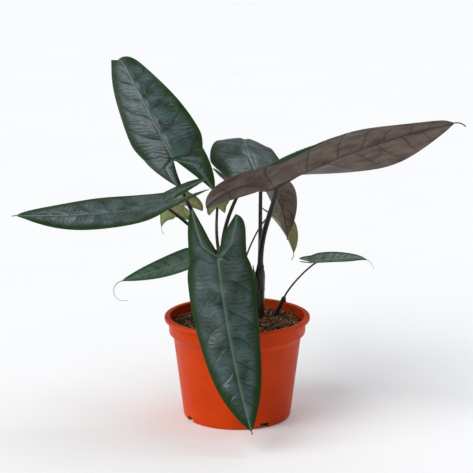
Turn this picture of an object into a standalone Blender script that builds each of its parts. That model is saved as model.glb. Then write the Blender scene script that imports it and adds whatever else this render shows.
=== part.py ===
"""Potted alocasia: a 6 inch grower's pot with soil, three stems, eleven leaves and their petioles.

Metres, +Z up.  The origin is the centre of the flat underside of the pot, -Y is the front.
"""
from dataclasses import dataclass

import bmesh
import bpy
import numpy as np
from mathutils import Matrix

NAME = "potted_alocasia"
GAP = 0.0003

# pot: a six inch moulded plastic grower's pot, 4.25 inch high
POT_RIM_RADIUS = 0.0762
POT_HEIGHT = 0.108
POT_BASE_SHARE = 0.739
POT_BASE_RADIUS = POT_BASE_SHARE * POT_RIM_RADIUS
POT_WALL = 0.0016
POT_FLOOR = 0.0022
LIP_HEIGHT = 0.0042
LIP_OVERHANG = 0.0042
BAND_HEIGHT = 0.0180
BAND_STEP = 0.0040
BAND_RISE = 0.0036
BAND_DRAFT = 0.0007
STEP_DRAFT = 0.0010
LIP_ROUND = 0.0012
EDGE_ROUND = 0.0006
FOOT_ROUND = 0.0035
FOOT_CHAMFER = 0.0010
INNER_ROUND = 0.0025
INNER_CORNER = 0.0040
POT_TURNS = 48
SLOTS = 4
SLOT_FIRST = -60.0
SLOT_WIDTH = 0.0105
SLOT_HEIGHT = 0.0055
SLOT_REACH = 0.0110
SLOT_CLEAR = 0.0100

# soil: its flat edge lies a little under the rim and its middle is heaped
SOIL_BELOW_RIM = 0.0085
SOIL_HEAP = 0.0022
SOIL_ROUND = 0.0010
SOIL_EDGE = POT_HEIGHT - SOIL_BELOW_RIM

# blades and petioles
BLADE = 0.0008
WELD = 0.000001
STEM_POINTS = 7
STEM_ROUND = 4
PETIOLE_ROUND = 2
BORE_GAP = 1.3 * GAP
BORE_SPARE_DEPTH = 0.001
TIP_WIDTH = 0.0012
TAIL_ROWS = 5
MIDRIB_FOLD = 0.004
SEAT = 0.0016
SEAT_INSET = 0.0020

# the two petioles that part at the top of the right stem, foot and top radius, and where they part
RIGHT_LONG_PETIOLE = (0.0030, 0.0024)
RIGHT_HANGING_PETIOLE = (0.0022, 0.0019)
RIGHT_PAIR_GAP = 0.0004
RIGHT_PAIR_MIDDLE = 0.0004


@dataclass(frozen=True)
class Leaf:
    """One arrow-shaped blade and its petiole.  Angles in degrees, lengths in metres.

    heading 0 points to +X and 90 to the back, pitch is upward, roll raises the left side.
    The seat's height is above the soil's edge, and the foot is measured from the top of the stem.
    Pairs are for the left and the right half.
    """

    name: str
    seat: tuple
    heading: float
    pitch: float
    droop: float
    length: float
    width: float
    roll: float = 0.0
    twist: float = 0.0
    swing: float = 0.0
    bow: float = 1.0
    tip_curl: float = 0.0
    lobes: tuple = (0.045, 0.045)
    spread: tuple = (0.020, 0.020)
    lobe_bend: tuple = (0.0, 0.0)
    lobe_fold: tuple = (0.0, 0.0)
    lobe_full: tuple = (2.2, 2.2)
    fold: tuple = (8.0, 8.0)
    fold_change: tuple = (0.0, 0.0)
    curl: tuple = (0.0, 0.0)
    curl_fade: float = 0.3
    curl_power: float = 1.5
    taper: float = 1.9
    widest: float = 0.14
    tail: float = 0.012
    tail_bend: float = -60.0
    rows: tuple = (20, 6)
    columns: int = 4
    stem: str = "main_stem"
    foot: tuple = (0.0, 0.0, 0.0)
    rise: tuple = (0.0, 0.0, 0.030)
    arrive: tuple = (0.0, 0.0, -0.030)
    thick: tuple = (0.0020, 0.0014)
    colour: tuple = (0.030, 0.060, 0.045)


SMALL = {"rows": (12, 4), "columns": 3}
PALE = (0.30, 0.34, 0.12)

LEAVES = (
    Leaf("left_upright", (-0.0676, 0.0300, 0.1708), 127.5, 45.5, -14.5, 0.172, 0.082, roll=-13.5,
         swing=-13.5, bow=1.1, tip_curl=-85.0, lobes=(0.042, 0.045), spread=(0.0165, 0.0300),
         lobe_full=(1.6, 3.2), lobe_bend=(-10.0, 27.0), lobe_fold=(16.0, 11.0), fold=(15.0, 7.0),
         taper=1.5, widest=0.12,
         foot=(-0.0055, 0.0010, 0.0036), rise=(-0.010, 0.004, 0.026), arrive=(0.008, -0.004, -0.040),
         thick=(0.0026, 0.0017)),
    Leaf("left_long", (-0.0728, -0.0360, 0.1347), 182.5, -21.5, 26.5, 0.1515, 0.068, roll=-6.0,
         twist=-26.0, swing=20.0, bow=0.39, lobes=(0.048, 0.046), spread=(0.0195, 0.0150),
         lobe_fold=(6.0, 7.5), fold=(5.0, 9.5), fold_change=(-15.0, -15.0), curl=(-8.0, -8.0), curl_fade=0.1,
         widest=0.15, tail=0.004, tail_bend=-20.0,
         foot=(-0.0037, -0.0042, 0.0030), rise=(-0.010, -0.006, 0.020), arrive=(0.014, 0.008, -0.012),
         thick=(0.0020, 0.0014)),
    Leaf("front_hanging", (-0.0187, -0.0970, 0.0898), -51.0, -80.0, 14.5, 0.171, 0.070, roll=38.0,
         twist=-4.0, swing=2.0, lobes=(0.049, 0.048), spread=(0.0150, 0.0240), lobe_full=(3.6, 3.4),
         lobe_bend=(-30.0, -12.0), fold=(-6.0, -8.0), curl=(-34.0, -34.0), curl_fade=0.0,
         taper=2.7, widest=0.10, tail=0.003, tail_bend=0.0,
         foot=(0.0046, -0.0031, 0.0038), rise=(-0.001, -0.010, 0.012), arrive=(0.000, 0.030, 0.004),
         thick=(0.0025, 0.0017)),
    Leaf("right_long", (0.0372, -0.0300, 0.1519), -3.5, 28.5, -15.0, 0.192, 0.088, roll=-26.0,
         twist=-55.0, swing=-12.0, bow=0.9, lobes=(0.070, 0.067), spread=(0.0205, 0.0220),
         lobe_bend=(-82.0, 17.0), lobe_fold=(0.0, 50.0), fold=(30.0, 36.0),
         fold_change=(-55.0, -95.0), curl=(12.0, -120.0), curl_fade=0.88, curl_power=3.5,
         lobe_full=(2.2, 3.6),
         stem="right_stem",
         foot=(0.0005, RIGHT_PAIR_MIDDLE - RIGHT_PAIR_GAP / 2 - RIGHT_LONG_PETIOLE[0], 0.0036),
         rise=(0.001, -0.004, 0.035), arrive=(-0.006, 0.006, -0.030), thick=RIGHT_LONG_PETIOLE),
    Leaf("back_arching", (0.0188, 0.0800, 0.1492), 110.0, 34.0, -114.0, 0.190, 0.087, swing=-55.0,
         roll=6.0, bow=1.2, lobes=(0.034, 0.038), spread=(0.0300, 0.0180), lobe_bend=(-20.0, -10.0),
         taper=1.1, fold=(-12.0, -16.0), widest=0.12,
         foot=(0.0051, 0.0024, 0.0028), rise=(0.001, 0.006, 0.034), arrive=(-0.014, -0.024, -0.016),
         thick=(0.0022, 0.0015)),
    Leaf("right_hanging", (0.0238, 0.0200, 0.1472), 60.0, 10.0, -88.0, 0.100, 0.050, roll=5.0, bow=0.5,
         lobes=(0.026, 0.028), spread=(0.0100, 0.0120), fold=(18.0, 18.0), tail=0.004,
         stem="right_stem",
         foot=(0.0, RIGHT_PAIR_MIDDLE + RIGHT_PAIR_GAP / 2 + RIGHT_HANGING_PETIOLE[0], 0.0032),
         rise=(0.001, 0.006, 0.030), arrive=(-0.001, -0.004, -0.025), thick=RIGHT_HANGING_PETIOLE),
    Leaf("left_low", (-0.0396, -0.0447, 0.0808), 188.5, -19.0, 5.0, 0.081, 0.039, roll=-19.0, twist=-3.5,
         swing=-3.0, lobes=(0.018, 0.018), spread=(0.010, 0.010), tail=0.034, tail_bend=-185.0,
         foot=(0.0005, -0.0056, 0.0028), rise=(-0.003, -0.008, 0.010), arrive=(0.004, 0.010, -0.002),
         thick=(0.0015, 0.0012), **SMALL),
    Leaf("right_small", (0.0813, 0.0276, 0.0591), 8.0, 6.0, -8.0, 0.059, 0.032, roll=3.0, twist=12.0,
         swing=3.0, tip_curl=-30.0, lobes=(0.015, 0.017), spread=(0.007, 0.007),
         lobe_bend=(-15.0, -15.0), lobe_fold=(0.0, 20.0), fold=(17.0, 12.0), tail_bend=-45.0,
         stem="offset_stem", foot=(0.0008, 0.0002, 0.0015), rise=(0.008, 0.001, 0.014),
         arrive=(-0.010, 0.000, -0.007), thick=(0.0010, 0.0009), **SMALL),
    Leaf("left_pale", (-0.0575, 0.0440, 0.1170), 145.0, 13.5, -100.0, 0.048, 0.036, roll=-50.0,
         twist=-22.0, swing=-15.0, bow=0.8, lobes=(0.024, 0.022), spread=(0.012, 0.006),
         lobe_bend=(-25.0, 20.0), fold=(0.0, 8.0), tail=0.008,
         foot=(-0.0027, 0.0049, 0.0022), rise=(-0.006, 0.006, 0.016), arrive=(0.004, -0.006, -0.016),
         thick=(0.0013, 0.0009), colour=PALE, **SMALL),
    Leaf("right_pale", (0.0372, 0.1000, 0.0970), 52.0, -30.0, -53.0, 0.066, 0.038, roll=1.5, swing=-17.0,
         bow=1.2, lobes=(0.014, 0.015), spread=(0.008, 0.008), fold=(18.0, 22.0), tail=0.008,
         stem="back_stem", foot=(0.0000, 0.0005, 0.0020), rise=(0.006, 0.016, 0.030),
         arrive=(-0.012, -0.024, 0.000), thick=(0.0010, 0.0008), colour=PALE, **SMALL),
    Leaf("middle_pale", (-0.0212, 0.0297, 0.1187), 83.0, 25.0, -30.0, 0.046, 0.024, swing=-7.0,
         lobes=(0.0175, 0.0135), spread=(0.006, 0.010), tail=0.008,
         foot=(0.0013, 0.0055, 0.0024), rise=(-0.003, 0.004, 0.018), arrive=(-0.001, -0.006, -0.016),
         thick=(0.0018, 0.0013), colour=PALE, **SMALL),
)


@dataclass(frozen=True)
class Stem:
    """One stem of wrapped leaf bases: where its foot and its top are, seen from above, how deep it
    stands under the soil's edge and how high above it, and its radius at the foot and the top."""

    name: str
    foot: tuple
    depth: float
    top: tuple
    height: float
    thick: tuple


STEMS = (
    Stem("main_stem", (-0.0200, 0.0000), 0.0395, (-0.0205, -0.0010), 0.0745, (0.0066, 0.0082)),
    Stem("right_stem", (0.0235, 0.0140), 0.0395, (0.0240, 0.0135), 0.0605, (0.0056, 0.0052)),
    Stem("offset_stem", (0.0270, 0.0240), 0.0275, (0.0500, 0.0248), 0.0215, (0.0026, 0.0022)),
    Stem("back_stem", (-0.0040, 0.0240), 0.0275, (0.0020, 0.0220), 0.0345, (0.0024, 0.0017)),
)


@dataclass(frozen=True)
class Sheath:
    """A pointed bract wrapped part of the way round a stem, clear of it by a gap.

    It starts at a drop below the stem's top and leans out by the flare at its own top.
    """

    name: str
    stem: str
    gap: float
    flare: float
    drop: float
    height: float
    facing: float
    wrap: float


SHEATHS = (
    Sheath("crown_sheath", "main_stem", 0.0008, 0.0010, 0.0260, 0.046, 8.0, 76.0),
    Sheath("crown_back_sheath", "main_stem", 0.0008, 0.0008, 0.0320, 0.036, 118.0, 80.0),
    Sheath("right_sheath", "right_stem", 0.0004, 0.0006, 0.0480, 0.046, 185.0, 190.0),
)

COLLECTION = None
CUTTERS = None


def clear_scene():
    """Removes every object of the start-up scene."""
    for obj in list(bpy.data.objects):
        bpy.data.objects.remove(obj, do_unlink=True)


def new_collection(name):
    """Adds a collection to the scene."""
    made = bpy.data.collections.new(name)
    bpy.context.scene.collection.children.link(made)
    return made


def material(name, colour, roughness):
    """A Principled material of one colour."""
    made = bpy.data.materials.new(name)
    made.use_nodes = True
    shader = made.node_tree.nodes["Principled BSDF"]
    shader.inputs["Base Color"].default_value = (*colour, 1.0)
    shader.inputs["Roughness"].default_value = roughness
    made.diffuse_color = (*colour, 1.0)
    return made


def mesh_object(name, mesh, collection):
    """Puts a mesh in an object of its own, in a collection."""
    obj = bpy.data.objects.new(name, mesh)
    collection.objects.link(obj)
    return obj


def dress(obj, colour, roughness):
    """Gives an object its own material."""
    obj.data.materials.append(material(obj.name, colour, roughness))


def turned(name, profile):
    """A closed solid of revolution about Z from a profile of (radius, height)."""
    mesh = bpy.data.meshes.new(name)
    mesh.from_pydata([(r, 0.0, z) for r, z in profile], [(i, i + 1) for i in range(len(profile) - 1)], [])
    obj = mesh_object(name, mesh, COLLECTION)
    screw = obj.modifiers.new("turn", "SCREW")
    screw.steps = POT_TURNS
    screw.render_steps = POT_TURNS
    screw.use_merge_vertices = True
    screw.merge_threshold = 0.00001
    screw.use_normal_calculate = True
    return obj


def cut(obj, cutter, name):
    """Takes the cutter's volume out of the object."""
    boolean = obj.modifiers.new(name, "BOOLEAN")
    boolean.operation = "DIFFERENCE"
    boolean.solver = "EXACT"
    boolean.object = cutter
    cutter.hide_render = True
    cutter.display_type = "WIRE"


def wall_radius(height):
    """Outer radius of the tapered wall at a height."""
    top = POT_RIM_RADIUS - LIP_OVERHANG - BAND_STEP
    share = height / (POT_HEIGHT - BAND_HEIGHT - BAND_RISE)
    return POT_BASE_RADIUS + (top - STEP_DRAFT - POT_BASE_RADIUS) * share


def build_pot():
    """The moulded pot: rolled lip, upright band, stepped tapering wall and flat floor."""
    rim = POT_RIM_RADIUS
    band = rim - LIP_OVERHANG
    top = POT_HEIGHT
    band_foot = top - BAND_HEIGHT
    wall_top = band_foot - BAND_RISE
    foot_inner = POT_FLOOR + INNER_ROUND
    profile = [
        (0.0, POT_FLOOR),
        (wall_radius(0.0) - POT_WALL - INNER_CORNER, POT_FLOOR),
        (wall_radius(foot_inner) - POT_WALL, foot_inner),
        (wall_radius(wall_top) - POT_WALL, wall_top + EDGE_ROUND),
        (band - BAND_DRAFT - POT_WALL, band_foot + EDGE_ROUND),
        (band - POT_WALL, top - LIP_HEIGHT),
        (band - POT_WALL, top - EDGE_ROUND),
        (band - POT_WALL + EDGE_ROUND, top),
        (rim - LIP_ROUND, top),
        (rim, top - LIP_ROUND),
        (rim, top - LIP_HEIGHT + LIP_ROUND),
        (rim - FOOT_CHAMFER, top - LIP_HEIGHT),
        (band, top - LIP_HEIGHT),
        (band - BAND_DRAFT, band_foot),
        (wall_radius(wall_top), wall_top),
        (wall_radius(FOOT_ROUND), FOOT_ROUND),
        (wall_radius(0.0) - FOOT_CHAMFER, FOOT_CHAMFER),
        (wall_radius(0.0) - FOOT_ROUND, 0.0),
        (0.0, 0.0),
    ]
    pot = turned("pot", profile)
    for i in range(SLOTS):
        angle = np.radians(SLOT_FIRST + 360.0 / SLOTS * i)
        cutter = slot_cutter(f"slot_cutter_{i + 1}", angle)
        cut(pot, cutter, f"slot_{i + 1}")
    dress(pot, (0.66, 0.055, 0.011), 0.38)


def slot_cutter(name, angle):
    """A block across the bottom corner of the pot, opening one drain slot."""
    length = SLOT_REACH + SLOT_CLEAR
    size = Matrix.Diagonal((length, SLOT_WIDTH, 2.0 * SLOT_HEIGHT, 1.0))
    reach = Matrix.Translation((POT_BASE_RADIUS - SLOT_REACH + length / 2.0, 0.0, 0.0))
    cage = bmesh.new()
    bmesh.ops.create_cube(cage, size=1.0, matrix=Matrix.Rotation(angle, 4, "Z") @ reach @ size)
    mesh = bpy.data.meshes.new(name)
    cage.to_mesh(mesh)
    cage.free()
    return mesh_object(name, mesh, CUTTERS)


def build_soil():
    """The potting mix, filling the pot up to a little under its rim, bored out for the stems."""
    edge = SOIL_EDGE
    wall_top = POT_HEIGHT - BAND_HEIGHT - BAND_RISE
    band = POT_RIM_RADIUS - LIP_OVERHANG - POT_WALL
    floor = max(POT_FLOOR, SLOT_HEIGHT) + GAP
    profile = [
        (0.0, floor),
        (wall_radius(floor) - POT_WALL - 2.0 * GAP, floor),
        (wall_radius(wall_top) - POT_WALL - 2.0 * GAP, wall_top + EDGE_ROUND + GAP),
        (band - BAND_DRAFT - 2.0 * GAP, POT_HEIGHT - BAND_HEIGHT + EDGE_ROUND + GAP),
        (band - BAND_DRAFT - GAP, edge - SOIL_ROUND),
        (band - 3.0 * SOIL_ROUND, edge),
        (0.75 * band, edge + 0.45 * SOIL_HEAP),
        (0.40 * band, edge + 0.85 * SOIL_HEAP),
        (0.0, edge + SOIL_HEAP),
    ]
    soil = turned("soil", list(reversed(profile)))
    for stem in STEMS:
        cut(soil, stem_bore(stem), f"{stem.name}_hole")
    dress(soil, (0.035, 0.020, 0.012), 0.95)


def tube(name, path, radii, collection, resolution):
    """A round tapering tube: a poly curve with a bevel, its own radius at each point and filled caps."""
    curve = bpy.data.curves.new(name, "CURVE")
    curve.dimensions = "3D"
    curve.bevel_depth = 1.0
    curve.bevel_resolution = resolution
    curve.use_fill_caps = True
    line = curve.splines.new("POLY")
    line.points.add(len(path) - 1)
    for point, place, radius in zip(line.points, path, radii):
        point.co = (*place, 1.0)
        point.radius = radius
    obj = bpy.data.objects.new(name, curve)
    collection.objects.link(obj)
    return obj


def stem_bore(stem):
    """The hole a stem stands in: its own tube made wider and deeper, as a closed mesh."""
    name = f"{stem.name}_bore"
    path = stem_path(stem, BORE_SPARE_DEPTH)
    curve = tube(f"{name}_curve", path, stem_radii(stem) + BORE_GAP, CUTTERS, STEM_ROUND)
    seen = curve.evaluated_get(bpy.context.evaluated_depsgraph_get())
    mesh = bpy.data.meshes.new_from_object(seen)
    bpy.data.objects.remove(curve, do_unlink=True)
    cage = bmesh.new()
    cage.from_mesh(mesh)
    bmesh.ops.remove_doubles(cage, verts=cage.verts, dist=WELD)
    cage.to_mesh(mesh)
    cage.free()
    return mesh_object(name, mesh, CUTTERS)


def stem_named(name):
    """The stem of that name."""
    return next(stem for stem in STEMS if stem.name == name)


def stem_top(stem):
    """The middle of a stem's top."""
    return np.array((*stem.top, SOIL_EDGE + stem.height))


def stem_path(stem, deeper=0.0):
    """The line of a stem from its foot in the soil to its top, begun a little deeper for a bore."""
    foot = np.array((*stem.foot, SOIL_EDGE - stem.depth))
    top = stem_top(stem)
    foot = foot - (top - foot) / np.linalg.norm(top - foot) * deeper
    share = np.linspace(0.0, 1.0, STEM_POINTS)[:, None]
    return foot * (1.0 - share) + top * share


def stem_radii(stem):
    """The radius of a stem along its line."""
    return np.linspace(stem.thick[0], stem.thick[1], STEM_POINTS)


def build_stems():
    """The stems, each standing in its own hole in the soil."""
    for stem in STEMS:
        obj = tube(stem.name, stem_path(stem), stem_radii(stem), COLLECTION, STEM_ROUND)
        dress(obj, (0.022, 0.016, 0.015), 0.35)


def directions(heading, pitch, roll):
    """Forward, left and up vectors of a blade for headings, pitches and rolls in degrees."""
    h = np.radians(heading)
    p = np.radians(pitch)
    r = np.radians(roll)
    forward = np.stack([np.cos(p) * np.cos(h), np.cos(p) * np.sin(h), np.sin(p)], -1)
    level = np.stack([-np.sin(h), np.cos(h), 0.0 * h], -1)
    upward = np.cross(forward, level)
    left = level * np.cos(r)[..., None] + upward * np.sin(r)[..., None]
    up = upward * np.cos(r)[..., None] - level * np.sin(r)[..., None]
    return forward, left, up


def leaf_seat(leaf):
    """The base of a blade's midrib."""
    x, y, z = leaf.seat
    return np.array((x, y, SOIL_EDGE + z))


def midrib(leaf):
    """Stations along the midrib: distance, point, heading, pitch and roll at each."""
    u = np.linspace(0.0, leaf.length + leaf.tail, 240)
    s = np.clip(u / leaf.length, 0.0, 1.0)
    beyond = np.clip((u - leaf.length) / leaf.tail, 0.0, 1.0)
    pitch = leaf.pitch + leaf.droop * s**leaf.bow
    pitch = pitch + leaf.tip_curl * np.clip((s - 0.7) / 0.3, 0.0, 1.0) ** 2 + leaf.tail_bend * beyond
    heading = leaf.heading + leaf.swing * s
    roll = leaf.roll + leaf.twist * s
    forward, _, _ = directions(heading, pitch, roll)
    steps = (forward[1:] + forward[:-1]) / 2.0 * np.diff(u)[:, None]
    points = leaf_seat(leaf) + np.vstack([np.zeros(3), np.cumsum(steps, axis=0)])
    return u, points, heading, pitch, roll


def half_width(leaf, s):
    """Half width of the blade at a share of its length: a short swell, then a long taper."""
    w = leaf.widest
    swell = 0.86 + 0.14 * np.sin(np.clip(s / w, 0.0, 1.0) * np.pi / 2.0)
    fall = (1.0 - np.clip((s - w) / (1.0 - w), 0.0, 1.0) ** leaf.taper) ** 0.9
    return leaf.width / 2.0 * np.where(s < w, swell, fall)


def half_blade(leaf, side):
    """Grid of points of one half: side 0 is the left half, side 1 the right half."""
    lobe = leaf.lobes[side]
    half = leaf.width / 2.0
    body = np.linspace(0.0, leaf.length, leaf.rows[0])
    tail = leaf.length + leaf.tail * np.linspace(0.0, 1.0, TAIL_ROWS + 1)[1:]
    back = -lobe * np.sin(np.linspace(1.0, 0.0, leaf.rows[1], endpoint=False) * np.pi / 2.0)
    u = np.concatenate([back, body, tail])
    s = np.clip(u / leaf.length, 0.0, 1.0)
    t = np.clip(-u / lobe, 0.0, 1.0)
    at = np.maximum(u, 0.0)
    um, line, heading, pitch, roll = midrib(leaf)
    origin = np.stack([np.interp(at, um, line[:, k]) for k in range(3)], -1)
    reach = np.linspace(0.0, lobe, 50)
    bend = leaf.pitch + leaf.lobe_bend[side] * reach / lobe
    backward, _, _ = directions(np.full(50, leaf.heading), bend, np.full(50, leaf.roll))
    steps = -(backward[1:] + backward[:-1]) / 2.0 * (lobe / 49.0)
    trail = np.vstack([np.zeros(3), np.cumsum(steps, axis=0)])
    origin = origin + np.stack([np.interp(-u, reach, trail[:, k]) for k in range(3)], -1) * (u < 0)[:, None]
    pitches = np.interp(at, um, pitch) + leaf.lobe_bend[side] * t
    _, left, up = directions(np.interp(at, um, heading), pitches, np.interp(at, um, roll))
    out = np.maximum(half_width(leaf, s), TIP_WIDTH / 2.0)
    root = leaf.width / 2.0 * 0.86
    spread = leaf.spread[side]
    out = np.where(u < 0, spread + (root - spread) * (1.0 - t ** leaf.lobe_full[side]) ** 0.55, out)
    inner = np.minimum(np.where(u < 0, spread * t**1.3, 0.0), out)
    share = np.linspace(0.0, 1.0, leaf.columns)
    v = inner[:, None] + (out - inner)[:, None] * share[None]
    g = np.linspace(0.0, 1.0, 25)
    vg = v[..., None] * g
    fold = leaf.fold[side] + leaf.fold_change[side] * s + leaf.lobe_fold[side] * t
    curl = leaf.curl[side] * (1.0 - leaf.curl_fade * s)
    angle = fold[:, None, None] * (1.0 - np.exp(-vg / MIDRIB_FOLD))
    angle = np.radians(angle + curl[:, None, None] * (vg / half) ** leaf.curl_power)
    across = v * np.cos(angle).mean(-1)
    lift = v * np.sin(angle).mean(-1)
    sign = 1.0 if side == 0 else -1.0
    return origin[:, None] + sign * across[..., None] * left[:, None] + lift[..., None] * up[:, None]


def grid_faces(rows, columns, first, flip):
    """Quads of a grid whose points start at an index."""
    faces = []
    for i in range(rows - 1):
        for j in range(columns - 1):
            a = first + i * columns + j
            quad = (a, a + columns, a + columns + 1, a + 1)
            faces.append(tuple(reversed(quad)) if flip else quad)
    return faces


def sheet(name, grids, flips):
    """Joins grids of points into one open sheet and gives it a thickness with Solidify."""
    points = np.vstack([grid.reshape(-1, 3) for grid in grids])
    faces = []
    first = 0
    for grid, flip in zip(grids, flips):
        faces += grid_faces(grid.shape[0], grid.shape[1], first, flip)
        first += grid.shape[0] * grid.shape[1]
    mesh = bpy.data.meshes.new(name)
    mesh.from_pydata(points.tolist(), [], faces)
    cage = bmesh.new()
    cage.from_mesh(mesh)
    bmesh.ops.remove_doubles(cage, verts=cage.verts, dist=WELD)
    cage.to_mesh(mesh)
    cage.free()
    mesh.shade_smooth()
    obj = mesh_object(name, mesh, COLLECTION)
    solid = obj.modifiers.new("thickness", "SOLIDIFY")
    solid.thickness = BLADE
    solid.offset = 0.0
    solid.use_even_offset = False
    return obj


def build_blade(leaf):
    """One blade: two half grids joined along the midrib."""
    grids = [half_blade(leaf, 0), half_blade(leaf, 1)]
    obj = sheet(f"{leaf.name}_blade", grids, (True, False))
    dress(obj, leaf.colour, 0.4)


def petiole_path(leaf):
    """The petiole's line: a cubic from its foot to just under the base of the midrib."""
    forward, _, up = directions(np.array([leaf.heading]), np.array([leaf.pitch]), np.array([leaf.roll]))
    seat = leaf_seat(leaf) - up[0] * (SEAT + leaf.thick[1]) + forward[0] * SEAT_INSET
    a = stem_top(stem_named(leaf.stem)) + np.array(leaf.foot)
    b = a + np.array(leaf.rise)
    c = seat + np.array(leaf.arrive)
    t = np.linspace(0.0, 1.0, 12)[:, None]
    return a * (1 - t) ** 3 + 3 * b * t * (1 - t) ** 2 + 3 * c * t**2 * (1 - t) + seat * t**3


def build_petiole(leaf):
    """One petiole, thinner toward its blade."""
    path = petiole_path(leaf)
    radii = np.linspace(leaf.thick[0], leaf.thick[1], len(path))
    obj = tube(f"{leaf.name}_petiole", path, radii, COLLECTION, PETIOLE_ROUND)
    dress(obj, (0.040, 0.020, 0.018), 0.3)


def build_sheath(part):
    """One bract: a strip of a cone about its stem, narrowing to a point."""
    rows, columns = 9, 9
    up = np.linspace(0.0, 1.0, rows)[:, None]
    across = np.linspace(-0.5, 0.5, columns)[None]
    wrap = np.radians(part.wrap) * np.maximum((1.0 - up**2.2) ** 0.7, 0.05)
    angle = np.radians(part.facing) + across * wrap
    stem = stem_named(part.stem)
    line = stem_path(stem)
    foot = stem_top(stem)[2] - part.drop
    middle = [np.interp(foot + part.height / 2.0, line[:, 2], line[:, k]) for k in (0, 1)]
    radius = max(stem.thick) + BLADE / 2.0 + part.gap + part.flare * up
    points = np.stack([middle[0] + radius * np.cos(angle), middle[1] + radius * np.sin(angle),
                       foot + part.height * up + 0.0 * angle], -1)
    obj = sheet(part.name, [points], (False,))
    dress(obj, (0.030, 0.050, 0.022), 0.35)


def build():
    """Builds every piece of the plant and its pot."""
    build_pot()
    build_soil()
    build_stems()
    for part in SHEATHS:
        build_sheath(part)
    for leaf in LEAVES:
        build_petiole(leaf)
        build_blade(leaf)


clear_scene()
COLLECTION = new_collection(NAME)
CUTTERS = new_collection("cutters")
build()
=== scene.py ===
"""Potted alocasia, dressed: quilted leaves, petioles, stems, potting mix and a moulded pot.

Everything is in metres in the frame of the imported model.  Sizes are named here; places are taken
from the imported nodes' boxes.
"""
import logging
from dataclasses import dataclass
from enum import Enum
from typing import Any, Optional, Sequence

import bmesh
import bpy
import numpy as np
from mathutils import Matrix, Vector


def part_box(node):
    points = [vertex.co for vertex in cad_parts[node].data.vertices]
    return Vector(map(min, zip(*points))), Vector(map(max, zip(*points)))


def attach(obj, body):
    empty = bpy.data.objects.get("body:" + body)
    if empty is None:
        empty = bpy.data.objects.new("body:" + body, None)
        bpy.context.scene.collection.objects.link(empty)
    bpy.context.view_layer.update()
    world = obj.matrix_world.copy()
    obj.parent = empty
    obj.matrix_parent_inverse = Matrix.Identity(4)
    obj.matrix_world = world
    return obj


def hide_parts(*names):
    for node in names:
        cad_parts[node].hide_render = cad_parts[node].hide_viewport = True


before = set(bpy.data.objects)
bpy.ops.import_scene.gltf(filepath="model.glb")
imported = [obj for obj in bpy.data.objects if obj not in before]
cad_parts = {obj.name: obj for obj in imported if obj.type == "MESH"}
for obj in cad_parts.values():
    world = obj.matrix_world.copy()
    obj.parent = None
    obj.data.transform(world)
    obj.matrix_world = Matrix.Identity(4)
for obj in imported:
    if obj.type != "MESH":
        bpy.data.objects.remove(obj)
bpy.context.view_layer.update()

Array = np.ndarray
Pair = tuple[float, float]
Triple = tuple[float, float, float]
Material = bpy.types.Material
Socket = bpy.types.NodeSocket

LOG = logging.getLogger("alocasia")
MM = 0.001
BODY = "root"
WELD = 1.0e-6
PI = np.pi
# a full-grown blade, against which the vein pattern is sized
GROWN_WIDTH = 75 * MM
GROWN_LENGTH = 174 * MM


class Side(Enum):
    """The two halves of a blade, seen from above with the tip pointing away."""

    LEFT = 0
    RIGHT = 1


class Age(Enum):
    """How old a leaf is, which sets the colours of its blade."""

    MATURE = "mature"
    YOUNG = "young"
    PALE = "pale"


# ---------------------------------------------------------------- numbers and meshes


def smooth(x: Array, low: float, high: float) -> Array:
    """An S-shaped step: 0 under low, 1 over high, 3x^2 - 2x^3 between them.

    Args:
        x: Values to step.
        low: Where the step begins.
        high: Where it ends.

    Returns:
        The stepped values.
    """
    t = np.clip((x - low) / (high - low), 0.0, 1.0)
    return t * t * (3.0 - 2.0 * t)


def bell(x: Array, width: float) -> Array:
    """A bell curve exp(-(x / width)^2)."""
    return np.exp(-((x / width) ** 2))


def circle(count: int) -> Array:
    """Angles of points spaced evenly round a circle."""
    return np.linspace(0.0, 2.0 * PI, count, endpoint=False)


def walk(ways: Array, step: Any) -> Array:
    """Points reached from the origin by steps along the mean of each two neighbouring vectors."""
    return np.vstack([np.zeros(3), np.cumsum((ways[1:] + ways[:-1]) / 2.0 * step, axis=0)])


def read_line(at: Array, stations: Array, line: Array) -> Array:
    """Points of a line at some distances, from its points at the stations."""
    return np.stack([np.interp(at, stations, line[:, i]) for i in range(3)], -1)


def ripple_noise(x: Array, y: Array, size: float, seed: int, waves: int = 14) -> Array:
    """Smooth noise about -1 to 1: a sum of sine waves of random direction, length and phase.

    Args:
        x: First coordinate.
        y: Second coordinate.
        size: Typical length of a wave, in the units of x and y.
        seed: Seed of the random draw.
        waves: How many waves are summed.

    Returns:
        The noise at each point.
    """
    rng = np.random.default_rng(seed)
    turn = rng.uniform(0.0, 2.0 * PI, waves)
    rate = 2.0 * PI / (size * rng.uniform(0.6, 1.7, waves))
    phase = rng.uniform(0.0, 2.0 * PI, waves)
    total = np.zeros(np.broadcast(x, y).shape)
    for a, k, p in zip(turn, rate, phase):
        total = total + np.sin(k * (x * np.cos(a) + y * np.sin(a)) + p)
    return total / np.sqrt(waves / 2.0) / 1.8


def grid_index(rows: int, columns: int, first: int = 0) -> Array:
    """Point numbers of a grid, row by row.

    Args:
        rows: Number of rows.
        columns: Number of columns.
        first: Number of the first point.

    Returns:
        An array of rows by columns.
    """
    return first + np.arange(rows * columns).reshape(rows, columns)


def round_index(rows: int, columns: int) -> Array:
    """Point numbers of a grid that closes on itself: the last column is the first again.

    Args:
        rows: Number of rows.
        columns: Number of columns of points.

    Returns:
        An array of rows by columns plus one.
    """
    index = grid_index(rows, columns)
    return np.concatenate([index, index[:, :1]], axis=1)


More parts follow.
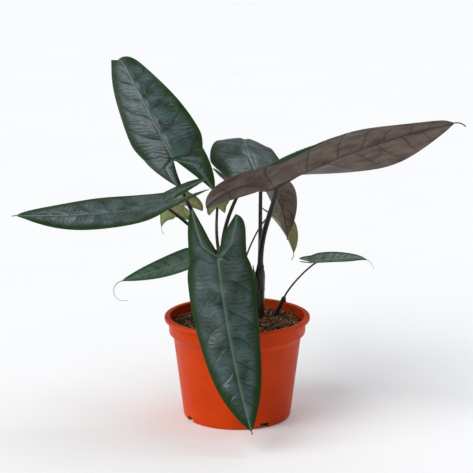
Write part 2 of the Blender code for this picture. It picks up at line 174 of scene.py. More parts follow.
def grid_quads(index: Array, flip: bool = False) -> Array:
    """Quads between neighbouring points of a grid.

    Args:
        index: Point numbers of the grid.
        flip: Whether to turn the faces over.

    Returns:
        An array of faces by four.
    """
    quads = np.stack([index[:-1, :-1], index[1:, :-1], index[1:, 1:], index[:-1, 1:]], -1).reshape(-1, 4)
    return quads[:, ::-1] if flip else quads


def point_normals(points: Array, quads: Array) -> Array:
    """Unit normals at points: the sum of the crossed diagonals of the faces round each.

    Args:
        points: Points by three.
        quads: Faces by four.

    Returns:
        Points by three.
    """
    corner = points[quads]
    cross = np.cross(corner[:, 2] - corner[:, 0], corner[:, 3] - corner[:, 1])
    total = np.zeros_like(points)
    for k in range(4):
        np.add.at(total, quads[:, k], cross)
    size = np.linalg.norm(total, axis=1, keepdims=True)
    return total / np.maximum(size, 1.0e-12)


def rim_edges(quads: Array) -> Array:
    """Edges that belong to one face only, in that face's direction.

    Args:
        quads: Faces by four.

    Returns:
        Edges by two.
    """
    edges = np.concatenate([quads[:, [k, (k + 1) % 4]] for k in range(4)])
    edges = edges[edges[:, 0] != edges[:, 1]]
    key = np.sort(edges, axis=1)
    _, inverse, count = np.unique(key, axis=0, return_inverse=True, return_counts=True)
    return edges[count[inverse.reshape(-1)] == 1]


def shell_faces(quads: Array, count: int) -> Array:
    """Faces of a closed shell: the upper sheet, the lower one turned over and the wall between.

    Args:
        quads: Faces of the upper sheet.
        count: Points of one sheet; the lower sheet's points follow the upper one's.

    Returns:
        The upper faces, then the lower ones, then the wall's.
    """
    rim = rim_edges(quads)
    wall = np.stack([rim[:, 1], rim[:, 0], rim[:, 0] + count, rim[:, 1] + count], -1)
    return np.concatenate([quads, quads[:, ::-1] + count, wall])


def new_piece(name: str, points: Array, quads: Array, materials: Sequence[Material],
              under: Optional[Array] = None, values: Optional[dict[str, Array]] = None,
              uv: Optional[Array] = None) -> bpy.types.Object:
    """Puts whole arrays of points and quads into a smooth-shaded mesh object.

    Args:
        name: Name of the piece.
        points: Points by three.
        quads: Faces by four.
        materials: The material of the faces, and a second one for the faces in under.
        under: Which faces take the second material.
        values: Named numbers at the points, read by the materials.
        uv: Two coordinates along the surface at each point, in metres.

    Returns:
        The new object, linked to the scene.
    """
    mesh = bpy.data.meshes.new(name)
    mesh.vertices.add(len(points))
    mesh.vertices.foreach_set("co", np.ascontiguousarray(points, dtype=np.float32).ravel())
    mesh.loops.add(quads.size)
    mesh.loops.foreach_set("vertex_index", np.ascontiguousarray(quads, dtype=np.int32).ravel())
    mesh.polygons.add(len(quads))
    mesh.polygons.foreach_set("loop_start", np.arange(0, quads.size, 4, dtype=np.int32))
    if under is not None:
        mesh.polygons.foreach_set("material_index", under.astype(np.int32))
    if uv is not None:
        layer = mesh.uv_layers.new(name="surface")
        layer.data.foreach_set("uv", np.ascontiguousarray(uv[quads.ravel()], dtype=np.float32).ravel())
    for key, value in (values or {}).items():
        attribute = mesh.attributes.new(key, "FLOAT", "POINT")
        attribute.data.foreach_set("value", np.ascontiguousarray(value, dtype=np.float32).ravel())
    mesh.update(calc_edges=True)
    mesh.validate()
    for made in materials:
        mesh.materials.append(made)
    weld(mesh)
    mesh.shade_smooth()
    piece = bpy.data.objects.new(name, mesh)
    bpy.context.scene.collection.objects.link(piece)
    return piece


def weld(mesh: bpy.types.Mesh) -> None:
    """Joins points that lie on each other, at seams and poles."""
    cage = bmesh.new()
    cage.from_mesh(mesh)
    bmesh.ops.remove_doubles(cage, verts=cage.verts, dist=WELD)
    bmesh.ops.dissolve_degenerate(cage, edges=cage.edges, dist=WELD / 4.0)
    cage.to_mesh(mesh)
    cage.free()


def box_of(points: Array) -> tuple[Array, Array]:
    """Lowest and highest corner of points."""
    flat = points.reshape(-1, 3)
    return flat.min(0), flat.max(0)


def node_box(node: str) -> tuple[Array, Array]:
    """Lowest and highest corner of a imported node."""
    low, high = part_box(node)
    return np.array(low), np.array(high)


def offset_to(node: str, points: Array) -> Array:
    """The move that puts the middle of the points' box on the middle of a node's box.

    Args:
        node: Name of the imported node.
        points: Points of any shape by three.

    Returns:
        A vector.
    """
    low, high = box_of(points)
    start, end = node_box(node)
    return (start + end - low - high) / 2.0


def tube_points(path: Array, radii: Array, sides: int) -> tuple[Array, Array, Array]:
    """A round tube: circles square to a path, turned as little as possible from one to the next.

    Args:
        path: Points by three along the middle.
        radii: Radius at each point, or points by sides where it differs round the tube.
        sides: Points in each circle.

    Returns:
        The points, the quads with both ends closed, and the two surface coordinates.
    """
    ahead = np.gradient(path, axis=0)
    ahead /= np.linalg.norm(ahead, axis=1, keepdims=True)
    start = np.array([1.0, 0.0, 0.0]) if abs(ahead[0, 0]) < 0.8 else np.array([0.0, 1.0, 0.0])
    across = np.zeros_like(path)
    side = start
    for i, line in enumerate(ahead):
        side = side - line * side.dot(line)
        side = side / np.linalg.norm(side)
        across[i] = side
    other = np.cross(ahead, across)
    turn = circle(sides)
    size = radii if radii.ndim == 2 else np.repeat(radii[:, None], sides, axis=1)
    ring = across[:, None] * np.cos(turn)[None, :, None] + other[:, None] * np.sin(turn)[None, :, None]
    points = path[:, None] + ring * size[..., None]
    first, last = (np.repeat(end[None, None], sides, 1) for end in (path[0], path[-1]))
    points = np.concatenate([first, points, last])
    rows = len(points)
    index = round_index(rows, sides)
    along = np.concatenate([[0.0], np.cumsum(np.linalg.norm(np.diff(path, axis=0), axis=1))])
    along = np.concatenate([[0.0], along, along[-1:]])
    uv = np.stack([np.repeat(along[:, None], sides, 1), np.repeat(turn[None] * size.mean(), rows, 0)], -1)
    return points.reshape(-1, 3), grid_quads(index, True), uv.reshape(-1, 2)


def cubic(a: Array, b: Array, c: Array, d: Array, count: int) -> Array:
    """Points along a cubic curve from a to d with the handles b and c.

    Args:
        a: First end.
        b: Handle of the first end.
        c: Handle of the second end.
        d: Second end.
        count: Number of points.

    Returns:
        Points by three.
    """
    t = np.linspace(0.0, 1.0, count)[:, None]
    return a * (1 - t) ** 3 + 3 * b * t * (1 - t) ** 2 + 3 * c * t**2 * (1 - t) + d * t**3


def hand_over(piece: bpy.types.Object, slot: str, *nodes: str) -> None:
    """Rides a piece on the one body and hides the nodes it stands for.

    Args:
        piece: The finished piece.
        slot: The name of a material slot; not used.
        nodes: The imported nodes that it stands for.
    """
    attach(piece, BODY)
    if nodes:
        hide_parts(*nodes)
    LOG.info("%s: %d faces", piece.name, len(piece.data.polygons))


# ---------------------------------------------------------------- materials


def linear(code: str) -> tuple[float, float, float, float]:
    """An sRGB hex colour as linear red, green, blue and full alpha.

    Args:
        code: Six hex digits after a hash.

    Returns:
        Four numbers for a colour socket.
    """
    parts = [int(code[i:i + 2], 16) / 255.0 for i in (1, 3, 5)]
    red, green, blue = (c / 12.92 if c <= 0.04045 else ((c + 0.055) / 1.055) ** 2.4 for c in parts)
    return (red, green, blue, 1.0)


@dataclass
class Surface:
    """A node material, painted a layer at a time over a ground colour.

    Noise is read along the surface where the mesh is unrolled, else in the object's coordinates.
    """

    name: str
    ior: float
    roughness: float
    base: Any
    unrolled: bool = False

    def __post_init__(self) -> None:
        """Makes the material, sets its shader and finds the coordinates that noise is read at."""
        self.made = bpy.data.materials.new(self.name)
        self.made.use_nodes = True
        self.shader = self.made.node_tree.nodes["Principled BSDF"]
        for key, value in (("IOR", self.ior), ("Roughness", self.roughness), ("Metallic", 0.0)):
            self.shader.inputs[key].default_value = value
        if self.unrolled:
            self.where = self.node("UVMap", {"uv_map": "surface"}).outputs["UV"]
        else:
            self.where = self.node("TexCoord").outputs["Object"]

    def node(self, kind: str, settings: Optional[dict[Any, Any]] = None,
             links: Optional[dict[Any, Socket]] = None) -> bpy.types.Node:
        """Adds a node, with its properties, its socket values and what is linked into it.

        Args:
            kind: Blender's name for the node, without ShaderNode.
            settings: A lower-case name is a property, any other key a socket; "ramp" lists stops.
            links: The sockets to link into inputs, by name or number.

        Returns:
            The node.
        """
        made = self.made.node_tree.nodes.new(f"ShaderNode{kind}")
        for key, value in (settings or {}).items():
            if key == "ramp":
                while len(made.color_ramp.elements) < len(value):
                    made.color_ramp.elements.new(0.5)
                for stop, (place, code) in zip(made.color_ramp.elements, value):
                    stop.position = place
                    stop.color = linear(code)
            elif isinstance(key, str) and key.islower():
                setattr(made, key, value)
            else:
                made.inputs[key].default_value = value
        for key, socket in (links or {}).items():
            self.made.node_tree.links.new(socket, made.inputs[key])
        return made

    def feed(self, key: str, socket: Socket) -> None:
        """Links a socket into an input of the shader."""
        self.made.node_tree.links.new(socket, self.shader.inputs[key])

    def scaled(self, value: Socket, into: Pair = (0.0, 1.0), span: Pair = (0.0, 1.0)) -> Socket:
        """Maps a value from one range to another, clamped.

        Args:
            value: The socket to map.
            into: What the ends of span become.
            span: The range read.

        Returns:
            The mapped value's socket.
        """
        made = self.node("MapRange", {1: span[0], 2: span[1], 3: into[0], 4: into[1]}, {0: value})
        return made.outputs[0]

    def paint(self, value: Socket, colour: str, into: Pair = (0.0, 1.0),
              span: Pair = (0.0, 1.0)) -> None:
        """Lays a colour over what is there.

        Args:
            value: What decides the share of it that shows.
            colour: Hex code.
            into: The shares at the ends of span.
            span: The range of the value that is read.
        """
        settings: dict[Any, Any] = {"data_type": "RGBA", 7: linear(colour)}
        links = {0: self.scaled(value, into, span)}
        if isinstance(self.base, str):
            settings[6] = linear(self.base)
        else:
            links[6] = self.base
        self.base = self.node("Mix", settings, links).outputs[2]

    def noise(self, size: float, stretch: Triple = (1.0, 1.0, 1.0), detail: float = 3.0) -> Socket:
        """Noise whose lumps are a real size across.

        Args:
            size: Size of a lump, in metres.
            stretch: How much faster it varies along each axis.
            detail: Octaves of finer noise.

        Returns:
            The noise value's socket.
        """
        placed = self.node("Mapping", {"Scale": stretch}, {"Vector": self.where}).outputs[0]
        made = self.node("TexNoise", {"Scale": 1.0 / size, "Detail": detail}, {"Vector": placed})
        return made.outputs["Fac"]

    def bump(self, height: Socket, depth: float, strength: float) -> None:
        """Bumps the shader's normal by a height of a real depth.

        Args:
            height: The height, 0 to 1.
            depth: Depth in metres of the whole range.
            strength: Share of the bump that is used.
        """
        made = self.node("Bump", {"Strength": strength, "Distance": depth}, {"Height": height})
        self.feed("Normal", made.outputs[0])

    def attribute(self, name: str) -> Socket:
        """The value of a named number on the mesh."""
        return self.node("Attribute", {"attribute_name": name}).outputs["Fac"]

    def times(self, first: Socket, second: Socket) -> Socket:
        """The product of two values."""
        return self.node("Math", {"operation": "MULTIPLY"}, {0: first, 1: second}).outputs[0]

    def weighed(self, value: Socket, weight: float, other: Socket) -> Socket:
        """A value times a weight, plus another value."""
        made = self.node("Math", {"operation": "MULTIPLY_ADD", 1: weight}, {0: value, 2: other})
        return made.outputs[0]

    def finish(self) -> Material:
        """Links the colour to the shader and hands back the material."""
        self.feed("Base Color", self.base)
        return self.made


@dataclass(frozen=True)
class LeafFinish:
    """Waxy living leaf tissue, grown quilted between its veins.

    The upper face is dark, with a silvery sheen painted on in patches and painted highlights on the
    raised parts and the crests of its fine ribs, sunken veins darker and margins greener.  The lower
    face is matt, mauve-brown on all but pale leaves, with darker veins.
    """

    name: str
    cell: str
    painted_sheen: str
    vein: str
    margin: str
    midrib: str
    under_cell: str
    under_light: str
    under_vein: str
    gloss: float = 0.32

    def upper(self) -> Material:
        """The waxy upper face."""
        skin = Surface(f"{self.name}_upper_waxy_leaf", 1.47, self.gloss, self.cell, True)
        # painted sheen: silvery patches of painted highlight, about 18 mm across, laid over the dark green
        skin.paint(skin.noise(18 * MM), self.painted_sheen, (0.0, 0.55), (0.38, 0.68))
        # painted highlights along the crests of the fine ribs, brighter on the raised cells
        skin.paint(skin.attribute("ripple"), self.painted_sheen, (0.0, 0.50), (0.60, 0.98))
        worn = skin.attribute("margin")
        skin.paint(worn, self.margin, (0.0, 0.95), (0.0, 0.8))
        skin.paint(skin.attribute("groove"), self.vein, (0.0, 0.85))
        skin.paint(skin.attribute("midrib"), self.midrib, (0.0, 0.8))
        sheen = (self.gloss - 0.07, self.gloss + 0.12)
        skin.feed("Roughness", skin.scaled(skin.noise(6 * MM), sheen, (0.3, 0.7)))
        # the wax is worn off along the margin, so that the green shows there without a sheen
        skin.feed("Specular IOR Level", skin.scaled(worn, (0.60, 0.15), (0.0, 0.8)))
        # fine cells of the skin, 0.6 mm across, catch the light as a soft grain
        skin.bump(skin.noise(0.6 * MM, detail=2.0), 0.10 * MM, 0.6)
        return skin.finish()

    def lower(self) -> Material:
        """The matt lower face."""
        skin = Surface(f"{self.name}_lower_matt_leaf", 1.42, 0.52, self.under_cell, True)
        skin.paint(skin.noise(12 * MM, (0.5, 1.6, 1.0)), self.under_light, span=(0.35, 0.65))
        skin.paint(skin.noise(1.6 * MM, (0.35, 1.4, 1.0)), self.under_light, (0.0, 0.45), (0.45, 0.75))
        skin.paint(skin.attribute("groove"), self.under_vein, (0.0, 0.8))
        skin.paint(skin.attribute("midrib"), self.under_vein, (0.0, 0.9))
        skin.bump(skin.noise(0.8 * MM), 0.10 * MM, 0.6)
        return skin.finish()


# the second colour of each finish is the painted sheen of its upper face
LEAF_FINISHES = {
    Age.MATURE: LeafFinish("mature", "#14271a", "#4d6a6a", "#0c1a12", "#1d3613", "#58725f",
                           "#4b3b35", "#6f6157", "#261815", 0.29),
    Age.YOUNG: LeafFinish("young", "#3b5643", "#5e7a68", "#20362a", "#2f5132", "#6b8775",
                          "#6f6255", "#867b6b", "#44382d", 0.36),
    Age.PALE: LeafFinish("pale", "#666c38", "#7a804a", "#4f572b", "#5d6830", "#858b53",
                         "#6a6c3c", "#7b7e4b", "#52572c", 0.50),
}


@dataclass(frozen=True)
class PetioleFinish:
    """Living petiole, stem or bract skin: smooth and waxy, streaked along its length."""

    name: str
    dark: str
    streak: str
    tip: str
    gloss: float = 0.27

    def material(self) -> Material:
        """The skin, its streaks 1.2 mm wide and lying along the stalk."""
        skin = Surface(self.name, 1.45, self.gloss, self.dark, True)
        streak = skin.scaled(skin.noise(1.2 * MM, (0.08, 1.0, 1.0)), span=(0.42, 0.68))
        skin.paint(streak, self.streak)
        skin.paint(skin.attribute("along"), self.tip)
        skin.paint(skin.noise(1.5 * MM, (0.6, 1.0, 1.0), 1.0), self.streak, (0.0, 0.5), (0.62, 0.72))
        skin.feed("Roughness", skin.scaled(streak, (self.gloss, self.gloss + 0.18)))
        skin.bump(skin.noise(0.9 * MM, (0.1, 1.0, 1.0)), 0.15 * MM, 0.7)
        return skin.finish()


@dataclass(frozen=True)
class PotFinish:
    """Injection-moulded polypropylene in orange: satin, a little cloudy, dusty where soil sat."""

    name: str = "moulded_polypropylene_orange"
    colour: str = "#cb3f08"
    deep: str = "#bf3806"
    dust: str = "#8a4a30"

    def material(self, low: float) -> Material:
        """The plastic, with dust inside and along the foot.

        Args:
            low: Height of the underside.

        Returns:
            The material.
        """
        skin = Surface(self.name, 1.49, 0.36, self.colour)
        # the chalky film that moulding leaves takes most of the glare off, so the orange stays deep
        skin.shader.inputs["Specular IOR Level"].default_value = 0.08
        skin.paint(skin.noise(35 * MM), self.deep, span=(0.35, 0.65))
        spots = skin.scaled(skin.noise(5 * MM, (1.0, 1.0, 0.5)), span=(0.5, 0.72))
        skin.paint(skin.times(spots, skin.attribute("inside")), self.dust, (0.0, 0.75))
        height = skin.node("SeparateXYZ", links={0: skin.where}).outputs["Z"]
        foot = skin.scaled(height, (1.0, 0.0), (low + 1.0 * MM, low + 7.0 * MM))
        skin.paint(skin.times(spots, foot), self.dust, (0.0, 0.5))
        skin.feed("Roughness", skin.scaled(skin.noise(9 * MM), (0.30, 0.46), (0.3, 0.7)))
        # mould grain about 0.7 mm across under wider cooling marks
        wave = skin.noise(16 * MM, (1.0, 1.0, 0.4), 1.0)
        skin.bump(skin.weighed(skin.noise(0.7 * MM, detail=2.0), 0.08, wave), 0.25 * MM, 0.35)
        return skin.finish()


@dataclass(frozen=True)
class MixFinish:
    """Loose potting mix: damp bark, coir and perlite, each with its own colours and grain."""

    name: str
    dark: str
    mid: str
    light: str
    grain: float
    depth: float = 0.5 * MM
    roughness: float = 0.9

    def material(self) -> Material:
        """A rough broken surface whose tone changes from lump to lump."""
        skin = Surface(self.name, 1.4, self.roughness, self.dark)
        tone = skin.weighed(skin.noise(self.grain), 0.45, skin.attribute("tone"))
        stops = [(0.15, self.dark), (0.55, self.mid), (1.0, self.light)]
        skin.base = skin.node("ValToRGB", {"ramp": stops}, {0: tone}).outputs[0]
        skin.bump(skin.noise(self.grain / 3.0), self.depth, 0.8)
        return skin.finish()


# ---------------------------------------------------------------- leaves


def directions(heading: Array, pitch: Array, roll: Array) -> tuple[Array, Array, Array]:
    """Forward, left and up vectors of a blade.

    Args:
        heading: Degrees from +X towards +Y.
        pitch: Degrees upward.
        roll: Degrees that raise the left side.

    Returns:
        Three arrays of vectors.
    """
    h, p, r = np.radians(heading), np.radians(pitch), np.radians(roll)
    forward = np.stack([np.cos(p) * np.cos(h), np.cos(p) * np.sin(h), np.sin(p)], -1)
    level = np.stack([-np.sin(h), np.cos(h), 0.0 * h], -1)
    upward = np.cross(forward, level)
    left = level * np.cos(r)[..., None] + upward * np.sin(r)[..., None]
    up = upward * np.cos(r)[..., None] - level * np.sin(r)[..., None]
    return forward, left, up


@dataclass(frozen=True)
class Veins:
    """Sunken side veins, the quilted cells between them and the fine arched ribs in each cell.

    A pair is an irregularity's height and length, except lean_turn: where the veins' lean turns
    from the lobe's to the body's, and over what length.
    """

    wide_spacing: float = 34 * MM
    tip_spacing: float = 15 * MM
    lean_body: float = 0.55
    lean_lobe: float = -0.45
    lean_turn: Pair = (6 * MM, 28 * MM)
    sweep: float = 7 * MM
    wander: Pair = (2.2 * MM, 34 * MM)
    groove_width: float = 0.70 * MM
    groove_depth: float = 0.28 * MM
    pillow: float = 1.05 * MM
    full_cell: float = 28 * MM
    midrib_depth: float = 0.7 * MM
    midrib_width: float = 2.4 * MM
    roll: Pair = (0.5 * MM, 34 * MM)
    rib_spacing: float = 4.6 * MM
    fine_spacing: float = 1.9 * MM
    rib_waver: Pair = (1.7 * MM, 11 * MM)
    rib_height: float = 0.15 * MM
    margin_band: float = 13 * MM

    def phase(self, u: Array, x: Array, half: Array, length: float, seed: int) -> tuple[Array, Array]:
        """Counts side veins from the base: whole numbers lie on a vein.

        The count at the midrib is the integral of 1 / spacing, the spacing falling evenly from
        base to tip.  A vein leaves at a lean and sweeps towards the tip near the margin.

        Args:
            u: Distance along the midrib.
            x: Distance out from the midrib or from a lobe's main vein.
            half: Half width of the blade there.
            length: Length of the blade.
            seed: Seed of the small irregularities.

        Returns:
            The count, and the spacing there.
        """
        turn = np.tanh((u - self.lean_turn[0]) / self.lean_turn[1])
        lean = 0.5 * (self.lean_body + self.lean_lobe) + 0.5 * (self.lean_body - self.lean_lobe) * turn
        out = np.abs(x)
        wander = self.wander[0] * ripple_noise(u, x, self.wander[1], seed)
        at = u - lean * out - self.sweep * (out / half) ** 3 + wander
        scale = length / GROWN_LENGTH
        wide, tip = self.wide_spacing * scale, self.tip_spacing * scale
        slope = (wide - tip) / length
        spacing = np.clip(wide - slope * at, 0.6 * tip, 1.05 * wide)
        return -np.log(np.maximum(1.0 - slope * at / wide, 0.05)) / slope, spacing

    def relief(self, u: Array, x: Array, edge: Array, half: Array, length: float, width: float,
               side: Side, seed: int) -> dict[str, Array]:
        """Heights and masks of the vein pattern.

        A groove is a bell curve across a vein; a cell rises as (4f(1 - f))^1.15 between two
        veins, less where the veins lie close; the ribs are sine waves in a distance that arches
        toward the base.

        Args:
            u: Distance along the midrib.
            x: Distance out from the midrib or from a lobe's main vein.
            edge: Distance in from the margin.
            half: Half width of the blade there.
            length: Length of the blade.
            width: Greatest width of the blade.
            side: Which half.
            seed: Seed of the small irregularities.

        Returns:
            Arrays "height", "groove", "midrib", "margin" and "ripple".
        """
        size = width / GROWN_WIDTH
        count, spacing = self.phase(u, x, half, length, seed)
        count = count + (0.38 if side is Side.LEFT else 0.0)
        part = count - np.floor(count)
        away = np.minimum(part, 1.0 - part) * spacing * 0.85
        inner = smooth(edge, 0.5 * MM, self.margin_band * size)
        central = bell(x, 2.0 * MM * size)
        groove = bell(away, self.groove_width * (0.6 + 0.4 * size))
        groove = groove * (0.35 + 0.65 * inner) * (1.0 - 0.6 * central)
        cell = (4.0 * part * (1.0 - part)) ** 1.15 * inner * (1.0 - bell(x, 3.2 * MM * size))
        arch = u + 0.40 * (np.abs(x) - 0.42 * half) ** 2 / np.maximum(half, MM) - 0.12 * np.abs(x)
        arch = arch + self.rib_waver[0] * ripple_noise(u, x, self.rib_waver[1], seed + 5)
        wave = np.sin(2.0 * PI * arch / (self.rib_spacing * (0.55 + 0.45 * size)))
        fine = np.sin(2.0 * PI * (arch / self.fine_spacing + 0.3 * ripple_noise(u, x, 9 * MM, seed + 8)))
        ripple = 0.72 * wave + 0.28 * fine
        swell = np.clip(spacing / (self.full_cell * size), 0.25, 1.0)
        height = self.pillow * size * cell * swell - self.groove_depth * size * groove
        height = height - self.midrib_depth * size * bell(x, self.midrib_width * size)
        height = height + self.rib_height * size * ripple * cell**0.5
        height = height + self.roll[0] * size * ripple_noise(u, x, self.roll[1], seed + 3) * inner
        # the ripple mask says where the painted highlights on the rib crests go
        return {"height": height, "groove": groove, "midrib": bell(x, 0.95 * MM * (0.4 + 0.6 * size)),
                "margin": 1.0 - inner, "ripple": 0.5 + 0.5 * ripple * (0.25 + 0.75 * cell)}


@dataclass(frozen=True)
class Blade:
    """One arrow-shaped blade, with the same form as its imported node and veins, cells and ribs added.

    The first and second number of a pair are for the left and the right half.  Angles are in
    degrees, lengths in metres, and the stalk's fields are for the petiole that carries the blade.
    """

    name: str
    heading: float
    pitch: float
    droop: float
    length: float
    width: float
    roll: float = 0.0
    twist: float = 0.0
    swing: float = 0.0
    bow: float = 1.0
    tip_curl: float = 0.0
    lobes: Pair = (0.045, 0.045)
    spread: Pair = (0.020, 0.020)
    lobe_bend: Pair = (0.0, 0.0)
    lobe_fold: Pair = (0.0, 0.0)
    lobe_full: Pair = (2.2, 2.2)
    fold: Pair = (8.0, 8.0)
    fold_change: Pair = (0.0, 0.0)
    curl: Pair = (0.0, 0.0)
    curl_fade: float = 0.3
    curl_power: float = 1.5
    taper: float = 1.9
    widest: float = 0.14
    tail: float = 0.012
    tail_bend: float = -60.0
    age: Age = Age.MATURE
    seed: int = 1
    stem: str = "main_stem"
    foot: Pair = (0.0, 0.0)
    rise: Triple = (0.0, 0.0, 0.030)
    arrive: Triple = (0.0, 0.0, -0.030)
    thick: Pair = (0.0020, 0.0014)

    FOLD_REACH = 4 * MM
    TIP = 0.6 * MM
    SHEET = 0.7 * MM
    WAVE = 0.9 * MM
    ROOTED = 7 * MM
    STALK_CLEAR = 1.15 * MM
    # a big blade's least length; then the step between rows and the columns in each half, on a
    # small blade and on a big one
    BIG = 90 * MM
    STEPS = (0.60 * MM, 0.78 * MM)
    COLUMNS = (26, 40)

    def midrib(self, at: Array) -> tuple[Array, Array, Array, Array]:
        """The midrib between the stalk and the end of the drip tip.

        Args:
            at: Distances along it.

        Returns:
            Point, heading, pitch and roll at each distance; the point is the sum of the forward
            vectors times the steps.
        """
        u = np.linspace(0.0, self.length + self.tail, 240)
        s = np.clip(u / self.length, 0.0, 1.0)
        beyond = np.clip((u - self.length) / self.tail, 0.0, 1.0)
        pitch = self.pitch + self.droop * s**self.bow + self.tail_bend * beyond
        pitch = pitch + self.tip_curl * np.clip((s - 0.7) / 0.3, 0.0, 1.0) ** 2
        heading = self.heading + self.swing * s
        roll = self.roll + self.twist * s
        forward, _, _ = directions(heading, pitch, roll)
        line = walk(forward, np.diff(u)[:, None])
        return (read_line(at, u, line), *(np.interp(at, u, angle) for angle in (heading, pitch, roll)))

    def half_width(self, s: Array) -> Array:
        """Half width at a share of the length: a sine swell to the widest place, then
        (1 - x^taper)^0.9."""
        w = self.widest
        swell = 0.86 + 0.14 * np.sin(np.clip(s / w, 0.0, 1.0) * PI / 2.0)
        fall = (1.0 - np.clip((s - w) / (1.0 - w), 0.0, 1.0) ** self.taper) ** 0.9
        return self.width / 2.0 * np.where(s < w, swell, fall)

    def surface(self, u: Array, share: Array, side: Side) -> tuple[Array, dict[str, Array]]:
        """One half of the blade as a function of distance along it and share of its width.

        A point starts on the midrib, or on the line on which a lobe trails back, and goes out
        along the arc whose angle is the fold plus a curl that grows as a power of the distance.

        Args:
            u: Distances along the midrib; below 0 lies in the lobe.
            share: Shares from the inner edge to the margin.
            side: Which half.

        Returns:
            Points of u by share by three, and the distances that the vein pattern needs.
        """
        k = side.value
        lobe, half, spread = self.lobes[k], self.width / 2.0, self.spread[k]
        s = np.clip(u / self.length, 0.0, 1.0)
        t = np.clip(-u / lobe, 0.0, 1.0)
        origin, heading, pitch, roll = self.midrib(np.maximum(u, 0.0))
        reach = np.linspace(0.0, lobe, 50)
        bend = self.pitch + self.lobe_bend[k] * reach / lobe
        backward, _, _ = directions(np.full(50, self.heading), bend, np.full(50, self.roll))
        trail = walk(-backward, lobe / 49.0)
        origin = origin + read_line(-u, reach, trail) * (u < 0)[:, None]
        _, left, up = directions(heading, pitch + self.lobe_bend[k] * t, roll)
        out = np.maximum(self.half_width(s), self.TIP)
        out = np.where(u < 0, spread + (0.86 * half - spread) * (1.0 - t ** self.lobe_full[k]) ** 0.55, out)
        inner = np.minimum(np.where(u < 0, spread * t**1.3, 0.0), out)
        v = inner[:, None] + (out - inner)[:, None] * share[None]
        g = np.linspace(0.0, 1.0, 13)
        vg = v[..., None] * g
        fold = self.fold[k] + self.fold_change[k] * s + self.lobe_fold[k] * t
        curl = self.curl[k] * (1.0 - self.curl_fade * s)
        angle = fold[:, None, None] * (1.0 - np.exp(-vg / self.FOLD_REACH))
        angle = np.radians(angle + curl[:, None, None] * (vg / half) ** self.curl_power)
        weight = np.full(13, 2.0)
        weight[0] = weight[-1] = 1.0
        across = (v[..., None] * np.cos(angle) * weight).sum(-1) / weight.sum()
        lift = (v[..., None] * np.sin(angle) * weight).sum(-1) / weight.sum()
        sign = 1.0 if side is Side.LEFT else -1.0
        points = origin[:, None] + sign * across[..., None] * left[:, None] + lift[..., None] * up[:, None]
        main = (inner + 0.40 * (out - inner))[:, None] * smooth(t, 0.0, 0.35)[:, None]
        where = {"u": u[:, None] + 0.0 * v, "v": v, "x": v - main, "edge": out[:, None] - v,
                 "half": np.maximum(out, 4 * MM)[:, None] + 0.0 * v, "t": t[:, None] + 0.0 * v}
        where["edge"] = np.where(where["t"] > 0.0, np.minimum(where["edge"], v - inner[:, None] + 3 * MM),
                                 where["edge"])
        return points, where

    def build(self) -> None:
        """The finished blade: a closed thin shell, relief on both faces and a rib underneath."""
        big = self.length > self.BIG
        step, across = self.STEPS[big], self.COLUMNS[big]
        rows = int(self.length / step)
        tail = self.length + self.tail * np.linspace(0.0, 1.0, 13)[1:]
        body_u = np.concatenate([np.linspace(0.0, self.length, rows), tail])
        even = np.linspace(0.0, 1.0, across + 1)
        share = np.sin(even * PI / 2.0) * 0.35 + even * 0.65
        veins = Veins()
        chunks: list[Array] = []
        fields: dict[str, list[Array]] = {}
        index: dict[Side, Array] = {}
        first = 0
        for side in Side:
            lobe = self.lobes[side.value]
            back_rows = max(int(lobe / step * 1.15), 12)
            back_u = -lobe * np.sin(np.linspace(0.0, 1.0, back_rows + 1) * PI / 2.0)[::-1][:-1]
            u = np.concatenate([back_u, body_u])
            points, where = self.surface(u, share, side)
            found = veins.relief(where["u"], where["x"], where["edge"], where["half"], self.length,
                                 self.width, side, self.seed)
            found["u"], found["v"] = where["u"], where["v"] * (1.0 if side is Side.LEFT else -1.0)
            found["rise"] = (where["edge"] / np.maximum(where["half"], MM)).clip(0.0, 1.0)
            found["x"] = where["x"]
            chunks.append(points.reshape(-1, 3))
            for key, value in found.items():
                fields.setdefault(key, []).append(value.ravel())
            index[side] = grid_index(len(u), len(share), first)
            first += len(u) * len(share)
        points = np.vstack(chunks)
        values = {key: np.concatenate(parts) for key, parts in fields.items()}
        quads = np.concatenate([grid_quads(index[Side.LEFT]), grid_quads(index[Side.RIGHT], True)])
        quads = self.join_halves(len(points), quads, index, len(body_u))
        shift = offset_to(f"{self.name}_blade", self.plain_box())
        self.shell(points + shift, quads, values)

    @staticmethod
    def join_halves(count: int, quads: Array, index: dict[Side, Array], body_rows: int) -> Array:
        """Makes both halves share the points of the midrib.

        Args:
            count: How many points there are.
            quads: Faces of both halves.
            index: Point numbers of each half's grid.
            body_rows: Rows from the stalk to the end of the tip.

        Returns:
            The faces, the right half's midrib points replaced by the left half's.
        """
        swap = np.arange(count)
        swap[index[Side.RIGHT][-body_rows:, 0]] = index[Side.LEFT][-body_rows:, 0]
        return swap[quads]

    def plain_box(self) -> Array:
        """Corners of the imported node's plain sheet before it is moved to its place."""
        share = np.linspace(0.0, 1.0, 7)
        low, high = np.full(3, 1.0e9), np.full(3, -1.0e9)
        for side in Side:
            lobe = self.lobes[side.value]
            u = np.concatenate([-lobe * np.sin(np.linspace(1.0, 0.0, 30, endpoint=False) * PI / 2.0),
                                np.linspace(0.0, self.length + self.tail, 120)])
            points, _ = self.surface(u, share, side)
            corner = box_of(points)
            low, high = np.minimum(low, corner[0]), np.maximum(high, corner[1])
        return np.stack([low, high])

